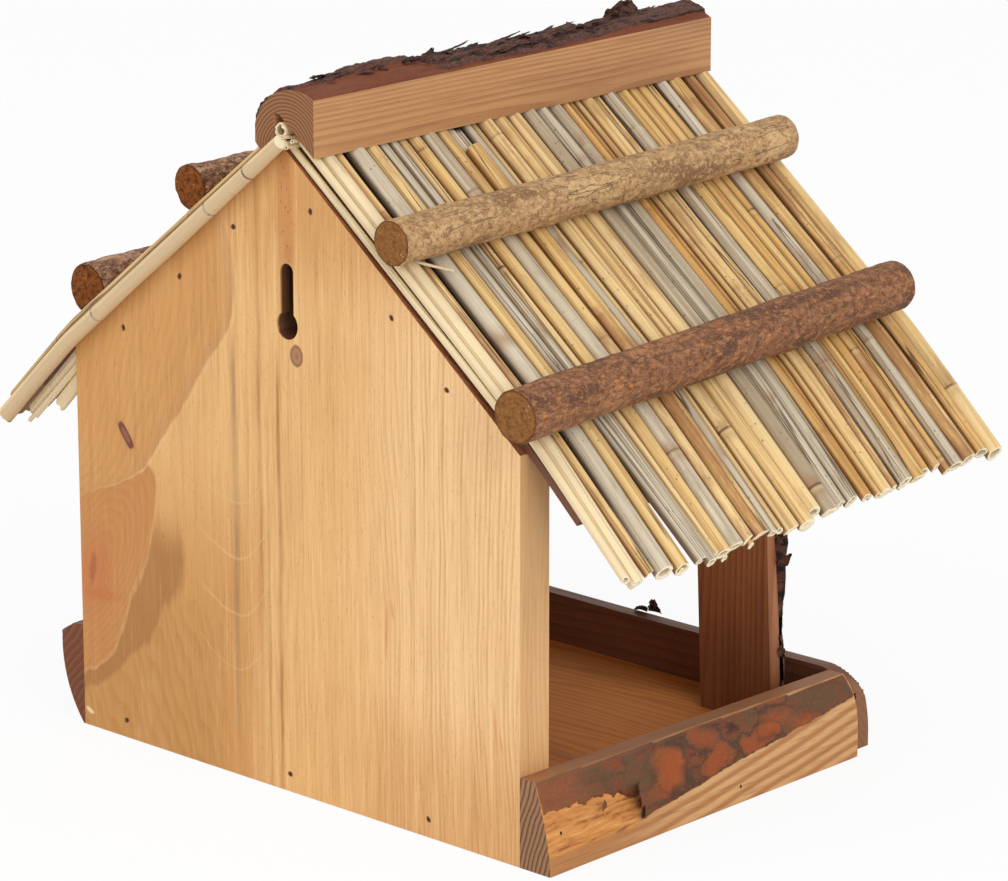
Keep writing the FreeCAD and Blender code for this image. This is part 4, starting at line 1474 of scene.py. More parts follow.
@dataclass
class RoofPanel:
    """The thin panel under the reeds of one slope, bent down past the lower rod.

    Attributes:
        side: The slope.
        thick: Its thickness.
        end: Run of its free end.
        steps: Faces along a run.
        mitre: Run over which its upper edge is cut back at the ridge.
    """

    side: Side
    thick: float = 3.0 * MM
    end: float = 0.187
    steps: int = 46
    mitre: float = 0.004

    def make(self, wood: bpy.types.Material) -> None:
        """Builds the panel in place of its node.

        Args:
            wood: Its material.
        """
        node = f"{self.side.word}_roof_panel"
        slope = Slope(self.side)
        low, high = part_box(node)
        runs = [self.end * step / self.steps for step in range(self.steps + 1)]
        depths = [high.y + (low.y - high.y) * step / 2 for step in range(3)]

        def at(run: float, y: float, rise: float) -> Vector:
            """A bent place on the panel, mitred at the ridge."""
            cut = rise * math.tan(slope.pitch) * (1 - min(1.0, run / self.mitre))
            return slope.place(run - cut, y, rise - slope.drop(run))

        points, faces = [], []
        for rise in (0.0, self.thick):
            for y in depths:
                points.extend(at(run, y, rise) for run in runs)
        columns, rows = len(runs), len(depths)

        def add(turned: bool, *corners: Point) -> None:
            """Adds a face from layer, row and column of its corners."""
            face = [(layer * rows + row) * columns + column for layer, row, column in corners]
            faces.append(tuple(reversed(face) if turned else face))

        for row in range(rows - 1):
            for column in range(columns - 1):
                for layer in (0, 1):
                    add(layer == 0, (layer, row, column), (layer, row, column + 1),
                        (layer, row + 1, column + 1), (layer, row + 1, column))
        for row in (0, rows - 1):
            for column in range(columns - 1):
                add(row != 0, (0, row, column), (0, row, column + 1), (1, row, column + 1),
                    (1, row, column))
        for column in (0, columns - 1):
            for row in range(rows - 1):
                add(column == 0, (0, row, column), (0, row + 1, column), (1, row + 1, column),
                    (1, row, column))
        piece = put(f"{node}_bent", np.array(points), faces, [wood])
        piece.data.polygons.foreach_set("use_smooth", [False] * len(faces))
        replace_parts(piece, node)
        LOG.info("%s dressed", node)


@dataclass
class Rod:
    """A barked hazel rod across the thatch.

    Attributes:
        side: The slope that it lies on.
        level: Which of the slope's two it is.
        sides: Points around it.
        station: Length between two rings of points.
        lump: Height of its broad lumps.
        wrinkle: Height of its fine lumps.
        slack: Depth within which the solid's end is measured.
        knot_reach: Half length of a knot.
        seed: Changes its lumps and its bark.
        knots: Place along it, angle and height of each knot.
    """

    side: Side
    level: str
    sides: int = 84
    station: float = 1.3 * MM
    lump: float = 0.55 * MM
    wrinkle: float = 0.22 * MM
    slack: float = 0.7 * MM
    knot_reach: float = 0.0045
    seed: float = 0.0
    knots: tuple[tuple[float, float, float], ...] = ()

    def make(self, bark: bpy.types.Material, cut: bpy.types.Material) -> None:
        """Builds the rod in place of its node.

        Args:
            bark: Its bark.
            cut: Its sawn ends.
        """
        node = f"{self.side.word}_{self.level}_rod"
        solid = np.array([vertex.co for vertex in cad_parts[node].data.vertices])
        depth = solid[:, 1]
        rear = solid[depth > depth.max() - self.slack]
        front = solid[depth < depth.min() + self.slack]
        ends = [Vector((part.max(0) + part.min(0)) / 2) for part in (rear, front)]
        radius = float((rear.max(0) - rear.min(0))[0] / 2)
        axis = ends[1] - ends[0]
        length = axis.length
        axis.normalize()
        across = axis.cross(Vector((0, 0, 1))).normalized()
        upward = across.cross(axis).normalized()
        count = int(length / self.station)
        points, spots, shares = [], [], []

        def ring(mark: float, share: float) -> None:
            """Adds one ring of points."""
            middle = ends[0] + axis * mark
            for side in range(self.sides):
                turn = 2 * math.pi * side / self.sides
                arm = (math.cos(turn), math.sin(turn))
                spot = Vector((arm[0] * 9, arm[1] * 9, mark * 1000))
                lump = noise.noise(spot * 0.055 + Vector((self.seed, 0, 0))) * self.lump
                coarse = noise.noise((spot.x * 0.34, spot.y * 0.34 + self.seed, spot.z * 0.2))
                small = noise.noise((spot.x * 0.8, spot.y * 0.8, spot.z * 0.5 + self.seed))
                lump += (coarse + 0.5 * small) * self.wrinkle
                for place, angle, height in self.knots:
                    gap = math.cos(turn - angle)
                    far = ((mark - place) / self.knot_reach) ** 2 + ((1 - gap) * 9) ** 2
                    lump += height * math.exp(-far)
                size = radius * share + lump * share
                points.append(middle + across * (arm[0] * size) + upward * (arm[1] * size))
                spots.append((arm[0] * size, arm[1] * size, mark + self.seed))
                shares.append(share)

        plan = [(0.0, 0.05), (0.0, 0.35), (0.0, 0.65), (0.0, 0.90), (0.0002, 0.975)]
        for mark, share in plan:
            ring(mark, share)
        for step in range(1, count):
            ring(length * step / count, 1.0)
        for mark, share in reversed(plan):
            ring(length - mark, share)
        rings = len(points) // self.sides
        faces = tube_faces(rings, self.sides)
        cut_rings = len(plan) - 1
        picks = np.ones(len(faces), int)
        picks[cut_rings * self.sides:(rings - len(plan)) * self.sides] = 0
        piece = put(f"{node}_barked", np.array(points), faces, [bark, cut], picks)
        keep(piece, "along_rod", np.array(spots))
        keep(piece, "rim_share", np.array(shares))
        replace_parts(piece, node)
        LOG.info("%s: length %.1f mm, diameter %.1f mm", node, length / MM, radius * 2 / MM)


def layered(spot: Vector, scales: Point, seed: float) -> float:
    """Noise in three layers.

    Args:
        spot: Where it is read.
        scales: Lumps in a metre along each axis.
        seed: Shifts it.

    Returns:
        A value around 0.
    """
    place = Vector((spot.x * scales[0] + seed, spot.y * scales[1] - seed,
                    spot.z * scales[2] + seed * 0.7))
    return noise.noise(place) + 0.5 * noise.noise(place * 2.3) + 0.25 * noise.noise(place * 5.1)


@dataclass
class Skin:
    """Bark laid over a solid, which is felt from outside."""

    name: str
    node: str
    aim: Callable[[float, float], tuple[Vector, Vector]]
    rise: Callable[[Vector, float, float], tuple[float, float]]
    columns: int
    rows: int
    flattest: float = 0.35

    def make(self, bark: bpy.types.Material, slot: str) -> None:
        """Builds the bark.

        Args:
            bark: Its material.
            slot: Not used.
        """
        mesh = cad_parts[self.node].data
        tree = BVHTree.FromPolygons([vertex.co for vertex in mesh.vertices],
                                    [tuple(face.vertices) for face in mesh.polygons])
        points, facts, good = [], [], []
        for column in range(self.columns + 1):
            for row in range(self.rows + 1):
                along, around = column / self.columns, row / self.rows
                origin, way = self.aim(along, around)
                hit, normal, _, _ = tree.ray_cast(origin, way)
                good.append(hit is not None and -normal.dot(way) > self.flattest)
                spot = hit if hit is not None else origin
                lift, kind = self.rise(spot, along, around)
                points.append(spot - way * lift)
                facts.append((kind, lift / MM, around))
        faces = []
        wide = self.rows + 1
        for column in range(self.columns):
            for row in range(self.rows):
                first = column * wide + row
                quad = (first, first + wide, first + wide + 1, first + 1)
                if all(good[corner] for corner in quad):
                    faces.append(quad)
        used = sorted({corner for face in faces for corner in face})
        numbers = {old: new for new, old in enumerate(used)}
        faces = [tuple(numbers[corner] for corner in face) for face in faces]
        piece = put(self.name, np.array([points[old] for old in used]), faces, [bark])
        keep(piece, "bark_facts", np.array([facts[old] for old in used]))
        LOG.info("%s: %d faces", self.name, len(faces))


@dataclass
class Flake:
    """A loose scale of bark that stands off."""

    base: Vector
    along: Vector
    across: Vector
    length: float
    width: float
    curl: float = 0.3
    bowl: float = 0.15
    thick: float = 0.5 * MM
    seed: float = 0.0

    @classmethod
    def row(cls, start: Vector, base: Point, along: Point, across: Point, length: float,
            width: float, curl: float, bowl: float, thick: float, seed: float) -> "Flake":
        """A flake whose base is counted from a start and whose sizes are in millimetres."""
        return cls(start + Vector(base), Vector(along), Vector(across), length * MM, width * MM,
                   curl, bowl, thick * MM, seed)

    def build(self) -> tuple[list, list, list]:
        """Shapes the flake.

        Returns:
            Points, faces and facts.
        """
        count, wide = 9, 6
        along, across = self.along.normalized(), self.across.normalized()
        up = along.cross(across).normalized()
        points, facts = [], []
        for layer in (0.5, -0.5):
            for step in range(count):
                share = step / (count - 1)
                jag = 1 + 0.45 * noise.noise((share * 5, self.seed, 0.5))
                half = self.width / 2 * (1 - 0.75 * share ** 2.2) * jag
                for place in range(wide):
                    side = place / (wide - 1) * 2 - 1
                    edge = 1 + 0.22 * noise.noise((side * 4, share * 3, self.seed + 9))
                    reach = self.length * share * edge
                    bend = self.curl * reach * share + self.bowl * half * side * side
                    rough = 0.35 * MM * noise.noise((side * 3, share * 6, self.seed + 3))
                    thin = self.thick * (1 - 0.55 * share) * (1 - 0.5 * abs(side))
                    points.append(self.base + along * reach + across * (side * half)
                                  + up * (bend + rough + layer * thin))
                    facts.append((1.0, 1.2 + layer * 1.4 + rough * 900, 0.5))
        faces = []
        total = count * wide
        for step in range(count - 1):
            for place in range(wide - 1):
                first = step * wide + place
                quad = (first, first + 1, first + wide + 1, first + wide)
                faces.append(quad)
                faces.append(tuple(corner + total for corner in reversed(quad)))
        rim = list(range(wide))
        rim += [step * wide + wide - 1 for step in range(1, count)]
        rim += [(count - 1) * wide + place for place in range(wide - 2, -1, -1)]
        rim += [step * wide for step in range(count - 2, 0, -1)]
        for first, second in zip(rim, rim[1:] + rim[:1]):
            faces.append((second, first, first + total, second + total))
        return points, faces, facts


def put_flakes(name: str, flakes: Sequence[Flake], bark: bpy.types.Material) -> None:
    """Makes one piece of some flakes.

    Args:
        name: The piece's name.
        flakes: The flakes.
        bark: Their material.
    """
    points, faces, facts = [], [], []
    for flake in flakes:
        made = flake.build()
        faces.extend(tuple(corner + len(points) for corner in face) for face in made[1])
        points.extend(made[0])
        facts.extend(made[2])
    piece = put(name, np.array(points), faces, [bark])
    piece.data.polygons.foreach_set("use_smooth", [False] * len(faces))
    keep(piece, "bark_facts", np.array(facts))
    LOG.info("%s: %d flakes", name, len(flakes))


@dataclass(frozen=True)
class Crown:
    """The round top of the ridge slab, as an arc seen along the ridge."""

    x: float
    z: float
    radius: float
    start: float
    finish: float

    @classmethod
    def through(cls, *points: tuple[float, float]) -> "Crown":
        """The arc from the first of three points over the second to the third."""
        (ax, az), (bx, bz), (cx, cz) = points
        turn = 2 * (ax * (bz - cz) + bx * (cz - az) + cx * (az - bz))
        first, second, third = (px * px + pz * pz for px, pz in points)
        x = (first * (bz - cz) + second * (cz - az) + third * (az - bz)) / turn
        z = (first * (cx - bx) + second * (ax - cx) + third * (bx - ax)) / turn
        return cls(x, z, math.hypot(ax - x, az - z), math.atan2(az - z, ax - x),
                   math.atan2(cz - z, cx - x))

    def turn(self, share: float) -> float:
        """The angle at a share of the arc."""
        return self.start + (self.finish - self.start) * share

    def arm(self, turn: float) -> Vector:
        """The way out of the crown at an angle."""
        return Vector((math.cos(turn), 0.0, math.sin(turn)))


@dataclass
class RidgeBark:
    """Bark on the crown of the ridge slab."""

    node: str = "ridge_slab"
    step: float = 0.75 * MM
    edge: float = 0.022
    reach: float = 0.228
    places: tuple[tuple[float, float], ...] = ((-0.0168, 0.0), (-0.0077, 0.0026), (0.0144, -0.0127))

    def crown(self) -> Crown:
        """The slab's crown, through places at its left edge, top and right edge."""
        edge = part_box(self.node)[0].z + self.edge
        return Crown.through(*((x, edge + rise) for x, rise in self.places))

    def make(self, bark: bpy.types.Material) -> None:
        """Builds the bark and its loose flakes.

        Args:
            bark: Their material.
        """
        low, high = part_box(self.node)
        crown = self.crown()
        length, arc = high.y - low.y, abs(crown.start - crown.finish) * crown.radius

        def aim(along: float, around: float) -> tuple[Vector, Vector]:
            """Looks at the crown from outside."""
            arm = crown.arm(crown.turn(0.004 + 0.992 * around))
            y = high.y - length * (0.0005 + 0.999 * along)
            return Vector((crown.x, y, crown.z)) + arm * (crown.radius + 0.02), -arm

        def rise(spot: Vector, along: float, around: float) -> tuple[float, float]:
            """Height of the bark, and whether it is rough."""
            across = around * arc
            wander = 0.9 * MM * layered(Vector((along * length, 0, 0)), (60, 1, 1), 3.0)
            band = ((10.4 - 9.2 * smooth(along, 0.27, 0.33) + 1.6 * smooth(along, 0.60, 0.80)) * MM
                    + wander)
            rough = smooth(across, band - 0.5 * MM, band + 0.4 * MM)
            lumps = layered(spot, (170, 85, 170), 1.7)
            plates = math.floor((lumps + 0.4) * 5.0 + 0.8 * noise.noise(spot * 300)) / 5.0
            wild = (0.7 + 0.5 * smooth(along, 0.30, 0.36) * smooth(along, 0.72, 0.62)
                    + 0.4 * smooth(along, 0.80, 0.9))
            sheet = (0.25 + 1.85 * smooth(along, 0.08, 0.16) * smooth(along, 0.31, 0.26)
                     + 1.2 * smooth(along, 0.72, 0.80))
            fine = layered(spot, (700, 420, 700), 5.0)
            height = (0.35 + 1.1 * smooth(along, 0.08, 0.16) * smooth(along, 0.31, 0.26)
                      * smooth(across, 1.0 * MM, 4.0 * MM)) * MM
            height += rough * (sheet + wild * (0.5 + 1.15 * plates) + 0.40 * fine) * MM
            height = max(height, 0.2 * MM)
            rim = (smooth(min(along, 1 - along) * length, 0, 0.8 * MM)
                   * smooth(min(across, arc - across), 0, 0.7 * MM))
            return height * rim - 0.12 * MM * (1 - rim), rough

        columns, rows = int(length / self.step), int(arc / 0.6 / MM)
        Skin("ridge_bark", self.node, aim, rise, columns, rows, 0.1).make(bark, "barked_slab")
        self.make_flakes(bark, high.y, crown)

    def make_flakes(self, bark: bpy.types.Material, rear: float, crown: Crown) -> None:
        """Builds the loose flakes.

        Args:
            bark: Their material.
            rear: Depth of the slab's rear end.
            crown: The slab's crown.
        """
        chance = random.Random(11)
        plan = [(0.660, 0.30, 14.0, 4.0, 6, 0.10), (0.700, 0.27, 12.0, 3.6, 7, 0.15),
                (0.600, 0.28, 12.0, 5.0, 10, 0.1), (0.560, 0.26, 12.0, 5.0, 9, 0.2),
                (0.295, 0.22, 7.0, 5.0, 22, -0.2), (0.500, 0.25, 10.0, 5.0, 10, 0.2),
                (0.720, 0.30, 10.0, 4.0, 14, 0.1), (0.450, 0.24, 9.0, 5.0, 10, 0.1)]
        for _ in range(46):
            plan.append((chance.uniform(0.31, 0.64), chance.uniform(0.10, 0.42),
                         chance.uniform(8, 17), chance.uniform(2.0, 4.2), chance.uniform(2, 8),
                         chance.uniform(-0.1, 0.2)))
        lengthwise_ones = len(plan)
        for _ in range(80):
            along = chance.choice((chance.uniform(0.02, 0.30), chance.uniform(0.30, 0.72),
                                   chance.uniform(0.32, 0.70), chance.uniform(0.32, 0.70),
                                   chance.uniform(0.34, 0.66), chance.uniform(0.70, 0.98)))
            plan.append((along, chance.uniform(0.20, 0.9), chance.uniform(3.5, 10),
                         chance.uniform(2.5, 6), chance.uniform(4, 15), chance.uniform(-0.1, 0.35)))
        flakes = []
        for order, (along, around, long, wide, lift, curl) in enumerate(plan):
            turn = crown.turn(around)
            arm = crown.arm(turn)
            lengthwise = order < lengthwise_ones
            rise = 1.0 if along < 0.09 else 2.5 if along < 0.28 else 1.9 if lengthwise else 1.4
            base = (Vector((crown.x, rear - along * self.reach, crown.z))
                    + arm * (crown.radius + rise * MM))
            yaw = chance.uniform(-0.5, 0.5) * (0.4 if lengthwise else 1.0)
            forward = -1.0 if lengthwise or chance.random() < 0.5 else 1.0
            tangent = Vector((-math.sin(turn), 0.0, math.cos(turn)))
            flat = Vector((0, forward, 0)) * math.cos(yaw) + tangent * math.sin(yaw)
            angle = math.radians(lift)
            way = flat * math.cos(angle) + arm * math.sin(angle)
            across = arm.cross(flat).normalized()
            flakes.append(Flake(base, way, -across, long * MM, wide * MM, curl,
                                chance.uniform(-0.1, 0.3), 0.55 * MM, order * 3.7))
        crest = Vector((-0.0030, -0.0792, crown.z + crown.radius + 0.4 * MM))
        flakes.extend(Flake.row(crest, *row) for row in (
            ((0, 0, 0), (-0.10, -0.30, 1.0), (0.70, 0.66, 0.0), 8.0, 12.5, 0.12, 0.1, 0.9, 91.0),
            ((0, 0.0062, 0), (-0.05, 0.25, 1.0), (0.70, 0.60, 0.0), 6.0, 7.0, 0.25, 0.2, 0.8, 95.0),
            ((-0.0015, 0.0100, -0.0005), (-0.25, -0.6, 0.7), (0.60, 0.66, 0.3), 7.5, 6.0, 0.3, 0.2,
             0.7, 97.0)))
        put_flakes("ridge_bark_flakes", flakes, bark)


@dataclass
class LipBark:
    """Inner bark on the outside of the left lip, torn open near its rear end."""

    node: str = "left_lip"
    columns: int = 260
    rows: int = 52

    def border(self, depth: float) -> float:
        """Height of the bark's lower edge at a depth in millimetres."""
        places = ((-80, 24.9), (-73.8, 24.7), (-31, 19.6), (5.4, 15.8), (30, 12.0), (56.2, 8.8),
                  (80, 10.4), (108.6, 14.0))
        for first, second in zip(places, places[1:]):
            if depth <= second[0]:
                share = (depth - first[0]) / (second[0] - first[0])
                return first[1] + (second[1] - first[1]) * share
        return places[-1][1]

    def torn(self, depth: float, height: float) -> float:
        """1 inside the torn patch and 0 outside, by depth and height in millimetres."""
        ragged = (2.0 * noise.noise((depth * 0.16, height * 0.3, 4.0))
                  + noise.noise((depth * 0.5, height * 0.8, 9.0)))
        top = 23.4 - 4.6 * smooth(depth, 84, 57) + ragged
        bottom = self.border(depth) - 4
        inside = smooth(height, bottom, bottom + 0.6) * smooth(height, top + 0.5, top - 0.3)
        return inside * smooth(depth, 54.5 + ragged, 56.5 + ragged)

    def make(self, inner: bpy.types.Material) -> None:
        """Builds the skin and its loose edge.

        Args:
            inner: Material of the inner bark.
        """
        low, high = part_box(self.node)

        def aim(along: float, around: float) -> tuple[Vector, Vector]:
            """Looks at the lip from its left."""
            y = high.y - 0.0004 - (high.y - low.y - 0.0008) * along
            return Vector((low.x - 0.05, y, 0.006 + 0.0298 * around)), Vector((1.0, 0.0, 0.0))

        def rise(spot: Vector, along: float, around: float) -> tuple[float, float]:
            """Height of the skin over the wood."""
            depth, height = spot.y / MM, spot.z / MM
            edge = (self.border(depth) + 0.7 * noise.noise((depth * 0.12, 0.0, 2.0))
                    + 0.3 * noise.noise((depth * 0.6, 0.0, 5.0)))
            cover = smooth(height, edge, edge + 0.5) * (1 - self.torn(depth, height))
            ends = smooth(min(along, 1 - along) * 182, 0, 0.7)
            lump = 0.30 * layered(spot, (90, 55, 90), 2.0) + 0.10 * noise.noise(spot * 420)
            return (cover * (0.75 + lump) * ends - 0.35 * (1 - cover * ends)) * MM, cover

        skin = Skin("left_lip_bark", self.node, aim, rise, self.columns, self.rows, 0.25)
        skin.make(inner, "stained_wood")
        start = Vector((low.x, 0.0, 0.0))
        flakes = [Flake.row(start, *row) for row in (
            ((0.0006, 0.0545, 0.0185), (-0.30, 0.75, -0.05), (0.1, 0.1, 1.0), 7.5, 10.0, -0.25,
             0.15, 0.8, 5.0),
            ((0.0006, 0.0520, 0.0110), (-0.35, 0.85, 0.15), (0.1, -0.2, 0.9), 7.0, 4.5, -0.2, 0.2,
             0.7, 8.0),
            ((0.0006, 0.0760, 0.0205), (-0.25, 0.85, -0.2), (0.1, 0.2, 0.9), 5.0, 3.0, -0.2, 0.2,
             0.6, 12.0))]
        put_flakes("left_lip_flakes", flakes, inner)


@dataclass
class RoughBark:
    """Rough bark on the round side of a board."""

    node: str
    way: Vector
    thick: float
    wild: float
    trim: float
    seed: float
    spare: float = 0.0004

    def make(self, bark: bpy.types.Material) -> None:
        """Builds the bark.

        Args:
            bark: Its material.
        """
        low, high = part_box(self.node)
        side = Vector((abs(self.way.y), abs(self.way.x), 0.0))
        middle = (low + high) / 2
        reach = (high - low).dot(side) / 2
        bottom, top = low.z + self.spare, high.z - self.spare
        scales = (120, 120, 60) if self.node.endswith("post") else (70, 70, 120)

        def aim(along: float, around: float) -> tuple[Vector, Vector]:
            """Looks at the round side."""
            spot = Vector((middle.x, middle.y, bottom + (top - bottom) * around))
            spot += side * (reach * 0.9985 * (along * 2 - 1))
            return spot - self.way * 0.08, self.way

        def rise(spot: Vector, along: float, around: float) -> tuple[float, float]:
            """Height of the bark over the wood."""
            lumps = layered(spot, scales, self.seed)
            plates = math.floor((lumps + 0.4) * 4) / 4
            fine = layered(spot, (600, 600, 500), self.seed + 5)
            edge = (smooth(min(along, 1 - along) * 2 * reach, 0, 0.7 * MM)
                    * smooth(min(spot.z - low.z, high.z - spot.z), 0, 0.7 * MM))
            height = self.thick + self.wild * plates + 0.18 * MM * fine
            return max(height, 0.1 * MM) * edge - 0.1 * MM * (1 - edge), 1.0

        columns = max(30, int(2 * reach / (0.8 * MM)))
        rows = max(20, int((top - bottom) / (0.9 * MM)))
        skin = Skin(f"{self.node}_bark", self.node, aim, rise, columns, rows, self.trim)
        skin.make(bark, "stained_wood")


def make_barks() -> None:
    """Builds the bark of the slab, the lips and the posts, with their loose flakes."""
    bark = PineBark().make()
    RidgeBark().make(bark)
    LipBark().make(InnerBark().make())
    lip_bark = PineBark("lip_bark", crack=paint(58, 32, 20), crust=paint(90, 52, 28),
                        plate=paint(126, 78, 46), rust=paint(108, 62, 32)).make()
    rows = [("right_lip", (-1, 0, 0), 0.8, 0.5, 0.2, 2.0, lip_bark),
            ("front_lip", (0, 1, 0), 0.5, 0.5, 0.2, 3.0, lip_bark)]
    for side in Side:
        rows.append((f"{side.word}_front_post", (0, 1, 0), 2.3, 1.5, 0.12, 4.0 + side.value, bark))
    for node, way, thick, wild, trim, seed, coat in rows:
        RoughBark(node, Vector(way), thick * MM, wild * MM, trim, seed).make(coat)
    low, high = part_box("front_lip")
    top = Vector((0.0, low.y, high.z - 0.0005))
    flakes = [Flake.row(top, *row) for row in (
        ((-0.0135, 0.006, 0), (-0.6, 0.2, 1.0), (0.5, 0.7, 0.2), 6.5, 5.0, 0.7, 0.3, 0.6, 1.0),
        ((-0.0205, 0.004, 0), (0.4, 0.2, 1.0), (0.9, 0.3, 0.1), 5.0, 6.0, -0.4, 0.3, 0.6, 2.0))]
    flakes.append(Flake.row(Vector((low.x, low.y, 0.0)), (0.0012, 0.0110, 0.0212),
                            (-0.3, -0.2, 1.0), (0.3, 1.0, 0.1), 4.0, 4.0, 0.3, 0.2, 0.9, 3.0))
    put_flakes("front_lip_flakes", flakes, bark)
    flakes = [Flake.row(Vector(), *row) for row in (
        ((-0.1066, -0.0560, 0.0980), (-0.035, -0.02, -1.0), (0.70, 0.66, 0.0), 42.0, 9.0, 0.05, 0.3,
         0.9, 4.0),
        ((-0.1082, -0.0570, 0.0780), (-0.50, 0.0, 0.65), (0.5, 0.66, 0.4), 9.0, 4.0, 0.2, 0.3, 0.8,
         17.0),
        ((-0.1085, -0.0570, 0.0400), (-0.25, 0.0, 1.0), (0.7, 0.66, 0.0), 6.0, 4.0, 0.1, 0.3, 0.7,
         7.0))]
    put_flakes("left_front_post_flakes", flakes, bark)


@dataclass
class Studio:
    """Floor, lamps, background and camera."""

    camera_place: Point = (-1.2349, 1.32005, 0.6338)
    camera_way: Point = (0.6537, -0.7057, -0.2733)
    lens: float = 168.09
    room: float = 0.68
    lamps: tuple[tuple[str, Point, float, float], ...] = (
        ("key_lamp", (0.55, 1.75, 1.75), 1.3, 11.3), ("fill_lamp", (-2.1, 0.55, 1.35), 1.5, 23.0))
    floor_glow: float = 0.90
    reach: float = 6.0
    aim: Point = (0.0, 0.0, 0.12)

    def make(self) -> None:
        """Builds the studio."""
        scene = bpy.context.scene
        scene.view_settings.view_transform = "Standard"
        self.make_world()
        self.make_floor()
        for lamp in self.lamps:
            self.make_lamp(*lamp)
        data = bpy.data.cameras.new("camera")
        data.lens = self.lens
        data.sensor_width = 36.0
        data.clip_start = 0.05
        camera = bpy.data.objects.new("camera", data)
        camera.location = self.camera_place
        camera.rotation_euler = Vector(self.camera_way).to_track_quat("-Z", "Y").to_euler()
        scene.collection.objects.link(camera)
        scene.camera = camera
        LOG.info("studio ready")

    def make_world(self) -> None:
        """Builds an even room light that looks white to the camera."""
        g = Graph("room", bpy.data.worlds.new("room"))
        path = g.add("ShaderNodeLightPath", output="Is Camera Ray")
        glossy = Socket(g, path.output.node.outputs["Is Glossy Ray"])
        ends = {"Value": path.most(glossy), "To Min": self.room, "To Max": 1.0}
        strength = g.add("ShaderNodeMapRange", sockets=ends)
        light = g.add("ShaderNodeBackground", sockets={"Color": WHITE, "Strength": strength})
        bpy.context.scene.world = g.finish("ShaderNodeOutputWorld", light)

    def make_floor(self) -> None:
        """Builds the pale floor, which keeps the feeder's shadow."""
        g = Graph("pale_floor")
        matt = g.add("ShaderNodeBsdfDiffuse", sockets={"Color": paint(250, 250, 250)})
        glow = g.add("ShaderNodeEmission", sockets={"Color": WHITE, "Strength": 1.0})
        seen = g.add("ShaderNodeLightPath", output="Is Camera Ray") * self.floor_glow
        pale = g.finish("ShaderNodeOutputMaterial",
                        g.add("ShaderNodeMixShader", sockets={0: seen, 1: matt, 2: glow}))
        mesh = bpy.data.meshes.new("floor")
        corners = [(-1, -1), (1, -1), (1, 1), (-1, 1)]
        mesh.from_pydata([(x * self.reach, y * self.reach, 0) for x, y in corners], [],
                         [(0, 1, 2, 3)])
        mesh.materials.append(pale)
        floor = bpy.data.objects.new("floor", mesh)
        floor.location.z = -0.2 * MM
        bpy.context.scene.collection.objects.link(floor)

    def make_lamp(self, name: str, place: Point, size: float, power: float) -> None:
        """Adds a soft square lamp that looks at the feeder.

        Args:
            name: Its name.
            place: Where it hangs.
            size: Its side.
            power: Its power in watts.
        """
        data = bpy.data.lights.new(name, "AREA")
        data.shape = "SQUARE"
        data.size = size
        data.energy = power
        lamp = bpy.data.objects.new(name, data)
        lamp.location = place
        way = Vector(self.aim) - Vector(place)
        lamp.rotation_euler = way.to_track_quat("-Z", "Y").to_euler()
        bpy.context.scene.collection.objects.link(lamp)


def dress(node: str, material: bpy.types.Material, round_by: float = 0.0) -> None:
    """Gives a node of the frame its material and worn edges.

    Args:
        node: Name of the node.
        material: Its material.
        round_by: Width of the worn edges.
    """
    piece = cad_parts[node]
    piece.data.materials.clear()
    piece.data.materials.append(material)
    if round_by:
        weld = piece.modifiers.new("weld", "WELD")
        weld.merge_threshold = WELD
        worn = piece.modifiers.new("worn_edges", "BEVEL")
        worn.width = round_by
        worn.segments = 2
        worn.limit_method = "ANGLE"
        worn.angle_limit = CORNER
        worn.harden_normals = False


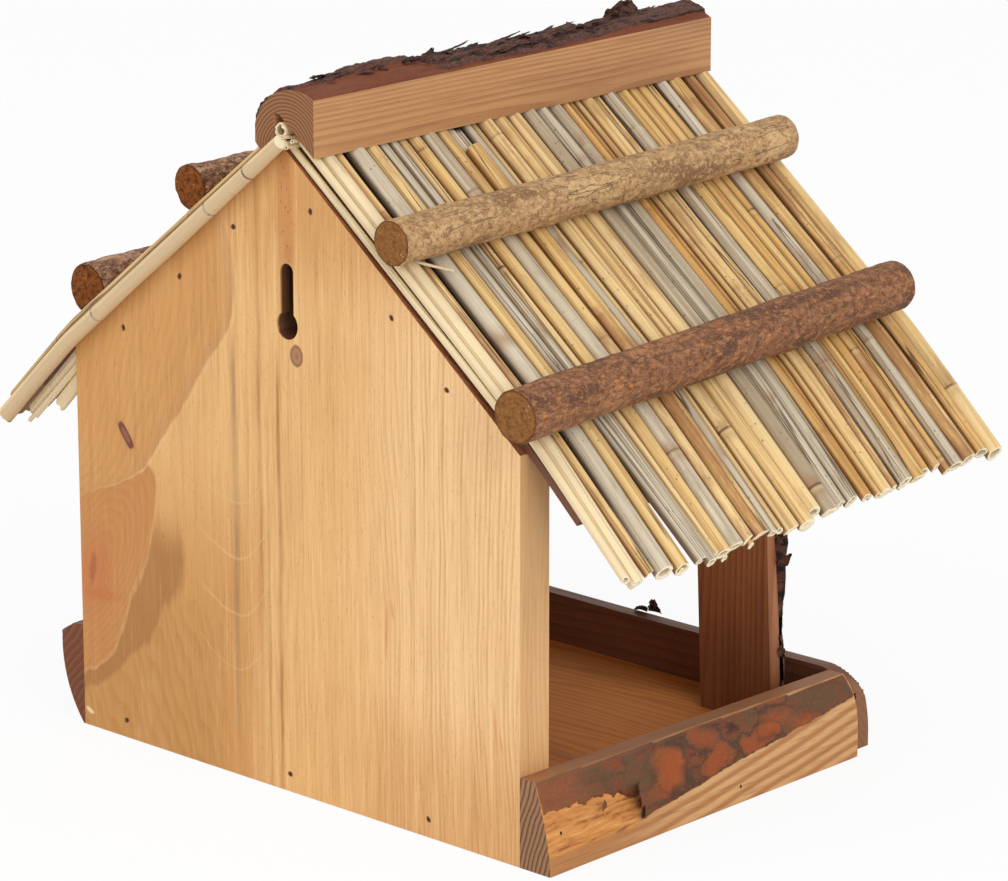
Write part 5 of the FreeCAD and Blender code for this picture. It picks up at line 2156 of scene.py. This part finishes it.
@dataclass
class Woodwork:
    """The boards, lips, posts and battens, shaped as their solids, and the bent panels."""

    def make(self) -> None:
        """Dresses every board of the feeder."""
        dress("back_board", PineFace().make(), 0.25 * MM)
        floor = StainedWood("floor_wood", Axis.X, paint(214, 134, 54), paint(180, 104, 38),
                            paint(158, 88, 32), bend=0.014, middle=(0.0, 0.02, -0.030), rough=0.7,
                            end=paint(150, 100, 60))
        dress("floor_board", floor.make())
        dress("left_lip", SawnLip().make())
        lip = StainedWood("lip_wood", Axis.Y, paint(140, 84, 42), paint(104, 60, 30),
                          paint(84, 46, 24), end=paint(106, 48, 4))
        dress("right_lip", lip.make())
        lip = StainedWood("front_lip_wood", Axis.X, paint(124, 76, 48), paint(106, 63, 39),
                          paint(88, 50, 32), end=paint(140, 92, 56))
        dress("front_lip", lip.make())
        # The posts get painted shade towards their feet.
        post = StainedWood("post_wood", Axis.Z, paint(192, 122, 72), paint(142, 84, 48),
                           paint(98, 52, 30), clear=(0.095, 0.025))
        for side in Side:
            dress(f"{side.word}_front_post", post.make())
        crown = RidgeBark().crown()
        slab = StainedWood("slab_wood", Axis.Y, paint(194, 142, 92), paint(160, 108, 66),
                           paint(142, 94, 57), ring=1.35 * MM, bend=0.0018,
                           middle=(crown.x + 0.004, 0.0, crown.z - 0.002), fibre=0.5,
                           end=paint(121, 70, 28))
        dress("ridge_slab", slab.make())
        batten = StainedWood("batten_wood", Axis.X, paint(150, 100, 62), paint(116, 72, 42),
                             paint(94, 56, 34))
        panel = StainedWood("panel_wood", Axis.Y, paint(112, 68, 42), paint(84, 48, 30),
                            paint(66, 36, 24))
        panel_wood, batten_wood = panel.make(), batten.make()
        for side in Side:
            dress(f"{side.word}_roof_batten", batten_wood)
            RoofPanel(side).make(panel_wood)
        LOG.info("boards dressed")


@dataclass
class Fasteners:
    """The nails and brads."""

    def make(self) -> None:
        """Dresses every group of nails and brads."""
        steel = DarkSteel().make()
        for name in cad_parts:
            if name.endswith("_nails") or name.endswith("_brads"):
                dress(name, steel)
        LOG.info("nails and brads dressed")


def make_rods() -> None:
    """Builds the four hazel rods."""
    olive = HazelBark("olive_bark", paint(182, 142, 96), paint(214, 176, 124), paint(132, 94, 60),
                      paint(214, 170, 112), 0.35).make()
    red = HazelBark("red_bark", paint(132, 85, 52), paint(174, 121, 77), paint(88, 51, 30),
                    paint(196, 122, 60), 0.8).make()
    dark = HazelBark("dark_bark", paint(138, 92, 64), paint(204, 160, 124), paint(62, 35, 23),
                     paint(210, 168, 132), 0.8).make()
    ends = CutEnd("rod_end", paint(148, 98, 50), paint(112, 68, 34), paint(84, 50, 28),
                  paint(186, 138, 82)).make()
    dark_ends = CutEnd("dark_rod_end", paint(138, 76, 26), paint(110, 60, 22), paint(62, 34, 16),
                       paint(190, 116, 46), 1.5).make()
    Rod(Side.LEFT, "upper", seed=1.0).make(olive, ends)
    Rod(Side.LEFT, "lower", seed=4.0, knots=((0.105, 0.4, 0.0012),)).make(red, ends)
    for level, seed in (("upper", 7.0), ("lower", 9.0)):
        Rod(Side.RIGHT, level, seed=seed, lump=0.9 * MM, wrinkle=0.45 * MM).make(dark, dark_ends)


def main() -> None:
    """Builds the looks of the feeder, piece by piece."""
    logging.basicConfig(level=logging.INFO, format="%(name)s: %(message)s")
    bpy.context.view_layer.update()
    Studio().make()
    Woodwork().make()
    Fasteners().make()
    skin = ReedSkin().make()
    for side in Side:
        Thatch(side).make(skin)
    RidgeReed().make(skin)
    make_barks()
    make_rods()


if __name__ == "__main__":
    main()
